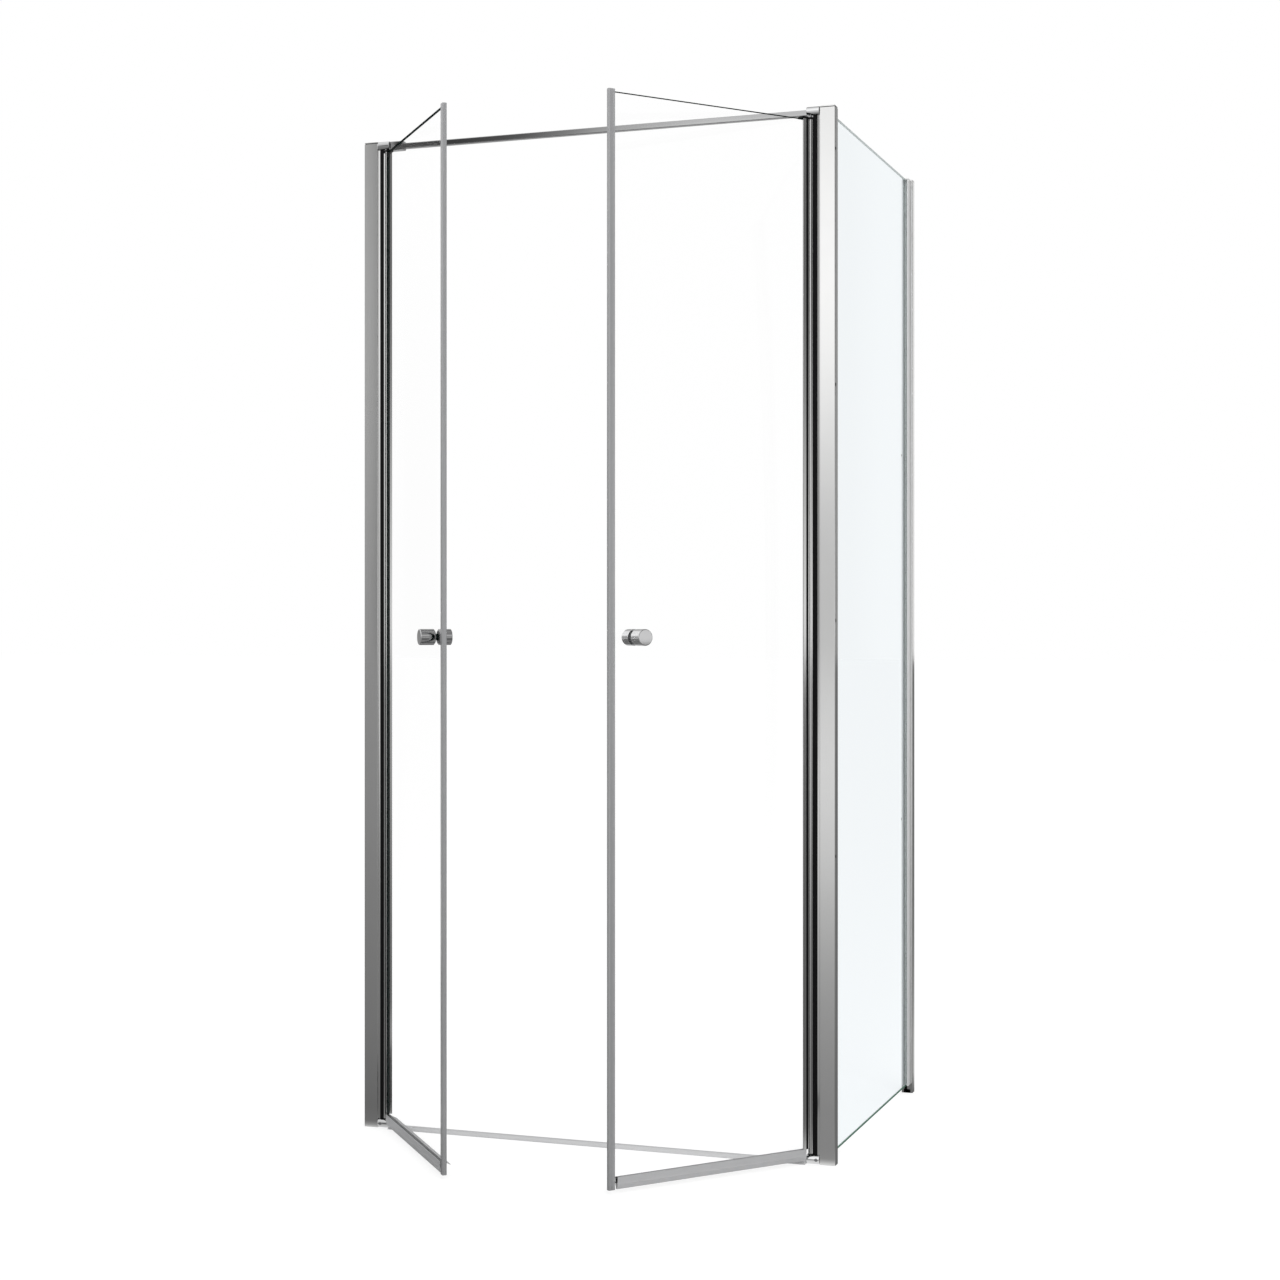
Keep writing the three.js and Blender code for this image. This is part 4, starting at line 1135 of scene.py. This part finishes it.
def camera():
    data = bpy.data.cameras.new("camera")
    data.sensor_width = SENSOR_WIDTH
    data.lens = FOCAL_PIXELS / IMAGE_SIZE * SENSOR_WIDTH
    data.shift_y = (HORIZON_PIXEL - IMAGE_SIZE / 2) / IMAGE_SIZE
    data.clip_end = CAMERA_RANGE
    obj = in_scene("camera", data)
    obj.location = CAMERA_PLACE
    obj.rotation_euler = (pi / 2, 0, CAMERA_YAW)
    bpy.context.scene.camera = obj


# What metal mirrors is a plain studio, given as pairs of a place and a level. Heights and turns are in
# degrees, and turns run from the front over the left. There are light walls in front and at the left with
# a narrow dark flag between them, a dark right side with a light strip at eye level, and a dim room
# behind.
FRONT_BY_HEIGHT = (
    (0, 0.545), (2, 0.56), (3.3, 0.64), (4.6, 0.77), (5.9, 0.89), (7.2, 1.0), (9, 1.06), (11, 1.02),
    (12.3, 0.97), (13.3, 0.88), (16, 0.95), (25, 1.1), (60, 1.1), (75, 0.8), (90, 0.5),
)
LEFT_OF_FRONT_BY_HEIGHT = (
    (0, 0.37), (3.3, 0.43), (5.9, 0.48), (8.5, 0.5), (12.4, 0.46), (20, 0.5), (34, 0.6), (50, 0.95),
    (62, 1.05), (75, 0.8), (90, 0.5),
)
LEFT_BY_HEIGHT = ((0, 0.6), (11, 0.95), (25, 0.95), (38, 0.6), (60, 0.7), (90, 0.45))
FAR_LEFT_BY_HEIGHT = (
    (0, 0.25), (4, 0.3), (9, 0.75), (13.5, 0.95), (27, 1.1), (33, 1.0), (40, 0.45), (47, 0.45),
    (56, 1.05), (70, 0.95), (80, 0.6), (90, 0.45),
)
RIGHT_BY_HEIGHT = (
    (0, 0.74), (3, 0.5), (6, 0.25), (9, 0.12), (13, 0.12), (17, 0.5), (26, 0.5), (36, 0.25),
    (60, 0.2), (90, 0.4),
)
WALLS_BY_TURN = (
    (-15, 2, FRONT_BY_HEIGHT), (17.5, 21.5, LEFT_OF_FRONT_BY_HEIGHT), (29, 42, LEFT_BY_HEIGHT),
    (75, 95, FAR_LEFT_BY_HEIGHT),
)
FLAG_BY_TURN = (
    (20.5, 1.0), (21.2, 0.8), (21.8, 0.62), (22.6, 0.32), (23.4, 0.23), (24.2, 0.17), (25.95, 0.15),
    (26.1, 1.0),
)
FLAG_END_HEIGHTS = (22, 32)
BACK_BY_TURN = (
    (-180, 0.85), (-166.9, 0.85), (-166.1, 0.15), (-162, 0.15), (-156, 0.4), (-140, 0.45),
)
BACK_JOIN_TURNS = (-141, -140)
BACK_START_TURNS = (122, 146)
BACK_LEVEL = 0.45
BACK_CEILING = 0.2
BACK_CEILING_HEIGHTS = (36, 46)

# The mirrored floor is a painted glow that only reflected rays see: a painted pool of light at the object's
# foot, and painted shade before the doorway and behind the object. Its places are in metres, and a pair of
# two places is a stretch over which the level changes.
FLOOR_BEFORE_POST = (
    (0, 0.8), (0.008, 0.75), (0.023, 0.56), (0.035, 0.4), (0.053, 0.27), (0.13, 0.25), (0.44, 0.25),
    (0.94, 0.28), (1.58, 0.32), (2.41, 0.387), (3.53, 0.48), (5.12, 0.6), (7.57, 0.68), (11.8, 0.725),
    (21, 0.68), (56, 0.62),
)
FLOOR_BEFORE_WALL = (
    (0, 0.8), (0.0128, 0.49), (0.021, 0.33), (0.053, 0.16), (0.19, 0.141), (1.35, 0.187), (3.2, 0.212),
    (7.3, 0.248), (23.5, 0.273), (56, 0.29),
)
HALFWAY_SLOPE = 0.378
HALFWAY = (-0.15, 0.15)
DOORWAY_ACROSS = ((-0.42, -0.36), (0.24, 0.3))
DOORWAY_BEFORE = ((0.1, 0.16), (0.5, 0.6))
DOORWAY_SHADE = 0.7
RIGHT_FLOOR = (0.5, 0.75)
RIGHT_FLOOR_SHARE = 0.45
FRONT_LINE = (-0.006, 0)
LEAST_BEHIND = 0.05
BEHIND_SLOPES = ((0.1, 0.18), (0.34, 0.42))
BEHIND_NEAR = (0.7, 0.9)
BEHIND_PATCH_ACROSS = ((-2.4, -2.2), (-0.6, -0.4))
BEHIND_PATCH_END = (1.2, 1.4)
BEHIND_DARK = 0.15
BEHIND_LIGHT = 0.45
FLOOR_LEVEL = -0.0002
FLOOR_HALF = 60
FLOOR_OWN_LIGHT = 0.75
FLOOR_LIT_COLOR = (0.36, 0.36, 0.36, 1)
AMBIENT = 0.72
KEY_PLACE = Vector((2.6, -3.0, 3.6))
KEY_TARGET = Vector((0, 0, 1))
KEY_SIZE = 2.5
KEY_POWER = 70


def mirrored_floor(made):
    """The painted glow that metal mirrors in the floor, from the distances across and before the object."""
    across, behind = made.axis(0), made.axis(1)
    distance = made.math("MULTIPLY", behind, -1)
    root = made.math("POWER", made.math("MAXIMUM", distance, 0), 1 / 3)
    by_post, by_wall = (
        made.follow(root, [(place ** (1 / 3), level) for place, level in stops])
        for stops in (FLOOR_BEFORE_POST, FLOOR_BEFORE_WALL)
    )
    beside = made.math("ADD", across, made.math("MULTIPLY", distance, HALFWAY_SLOPE))
    level = made.between(made.rise(beside, HALFWAY), by_wall, by_post)
    doorway = made.product(
        made.band(across, *DOORWAY_ACROSS), made.band(distance, *DOORWAY_BEFORE), DOORWAY_SHADE,
    )
    right = made.ranged(across, 1.0, RIGHT_FLOOR_SHARE, *RIGHT_FLOOR)
    level = made.product(level, made.math("SUBTRACT", 1, doorway), right)

    beyond = made.math("SUBTRACT", across, POST_X)
    slope = made.math("DIVIDE", beyond, made.math("MAXIMUM", behind, LEAST_BEHIND))
    shade = made.math("MAXIMUM", made.band(slope, *BEHIND_SLOPES), made.fall(behind, BEHIND_NEAR))
    patch = made.product(made.band(across, *BEHIND_PATCH_ACROSS), made.fall(behind, BEHIND_PATCH_END))
    shade = made.math("MAXIMUM", shade, patch)
    return made.between(
        made.rise(distance, FRONT_LINE), made.between(shade, BEHIND_LIGHT, BEHIND_DARK), level,
    )


def pale_floor():
    """A white floor that reads as the white background and still takes a soft shadow. Reflected rays see a
    painted glow on it instead.
    """
    corners = ((-1, -1), (1, -1), (1, 1), (-1, 1))
    bm = bmesh.new()
    bm.faces.new([bm.verts.new((x * FLOOR_HALF, y * FLOOR_HALF, FLOOR_LEVEL)) for x, y in corners])
    obj = in_scene("floor", as_mesh(bm))
    made = Nodes("pale_floor", (0.8, 0.8, 0.8), 0.9)
    lit = made.new("BsdfDiffuse", {"Color": FLOOR_LIT_COLOR})
    own = made.glow(FLOOR_OWN_LIGHT)
    white = made.new("AddShader", enumerate((own.outputs[0], lit.outputs[0])))
    unseen = made.mixed(made.path("Is Glossy Ray"), made.shader, made.glow(mirrored_floor(made)))
    obj.data.materials.append(made.finish(made.mixed(made.seen_directly(), unseen, white)))


def studio_world():
    """White behind the object; metal mirrors the walls of a plain studio."""
    world = bpy.data.worlds.new("studio")
    bpy.context.scene.world = world
    world.use_nodes = True
    made = Wires(world.node_tree)
    split = made.new("SeparateXYZ", {"Vector": made.new("TexCoord").outputs["Generated"]})
    to_left = made.math("MULTIPLY", split.outputs["X"], -1)
    to_front = made.math("MULTIPLY", split.outputs["Y"], -1)
    turn = made.math("DEGREES", made.math("ARCTAN2", to_left, to_front))
    height = made.math("DEGREES", made.math("ARCSINE", split.outputs["Z"]))
    level = made.follow(height, RIGHT_BY_HEIGHT)
    for start, end, stops in WALLS_BY_TURN:
        level = made.between(made.rise(turn, (start, end)), level, made.follow(height, stops))
    flag = made.between(made.rise(height, FLAG_END_HEIGHTS), made.follow(turn, FLAG_BY_TURN), 1.0)
    level = made.product(level, flag)
    rear = made.between(made.rise(turn, BACK_JOIN_TURNS), made.follow(turn, BACK_BY_TURN), BACK_LEVEL)
    rear = made.between(made.rise(height, BACK_CEILING_HEIGHTS), rear, BACK_CEILING)
    level = made.between(made.rise(made.math("ABSOLUTE", turn), BACK_START_TURNS), level, rear)
    plain = world.node_tree.nodes["Background"]
    plain.inputs["Color"].default_value = (1, 1, 1, 1)
    strength = made.between(made.path("Is Glossy Ray"), AMBIENT, level)
    made.feed(made.between(made.seen_directly(), strength, 1.0), plain.inputs["Strength"])


def key_lamp():
    data = bpy.data.lights.new("key", "AREA")
    data.size = KEY_SIZE
    data.energy = KEY_POWER
    obj = in_scene("key", data)
    obj.location = KEY_PLACE
    obj.rotation_euler = (KEY_TARGET - KEY_PLACE).to_track_quat("-Z", "Y").to_euler()
    obj.visible_glossy = False


camera()
pale_floor()
studio_world()
key_lamp()
bpy.context.scene.view_settings.view_transform = "Standard"
wall_frame()
corner_post()
profile_caps()
side_gaskets()
pivot_blocks()
header_bar()
threshold()
side_panel()
rear_profiles()
leaves()
kept_nodes()
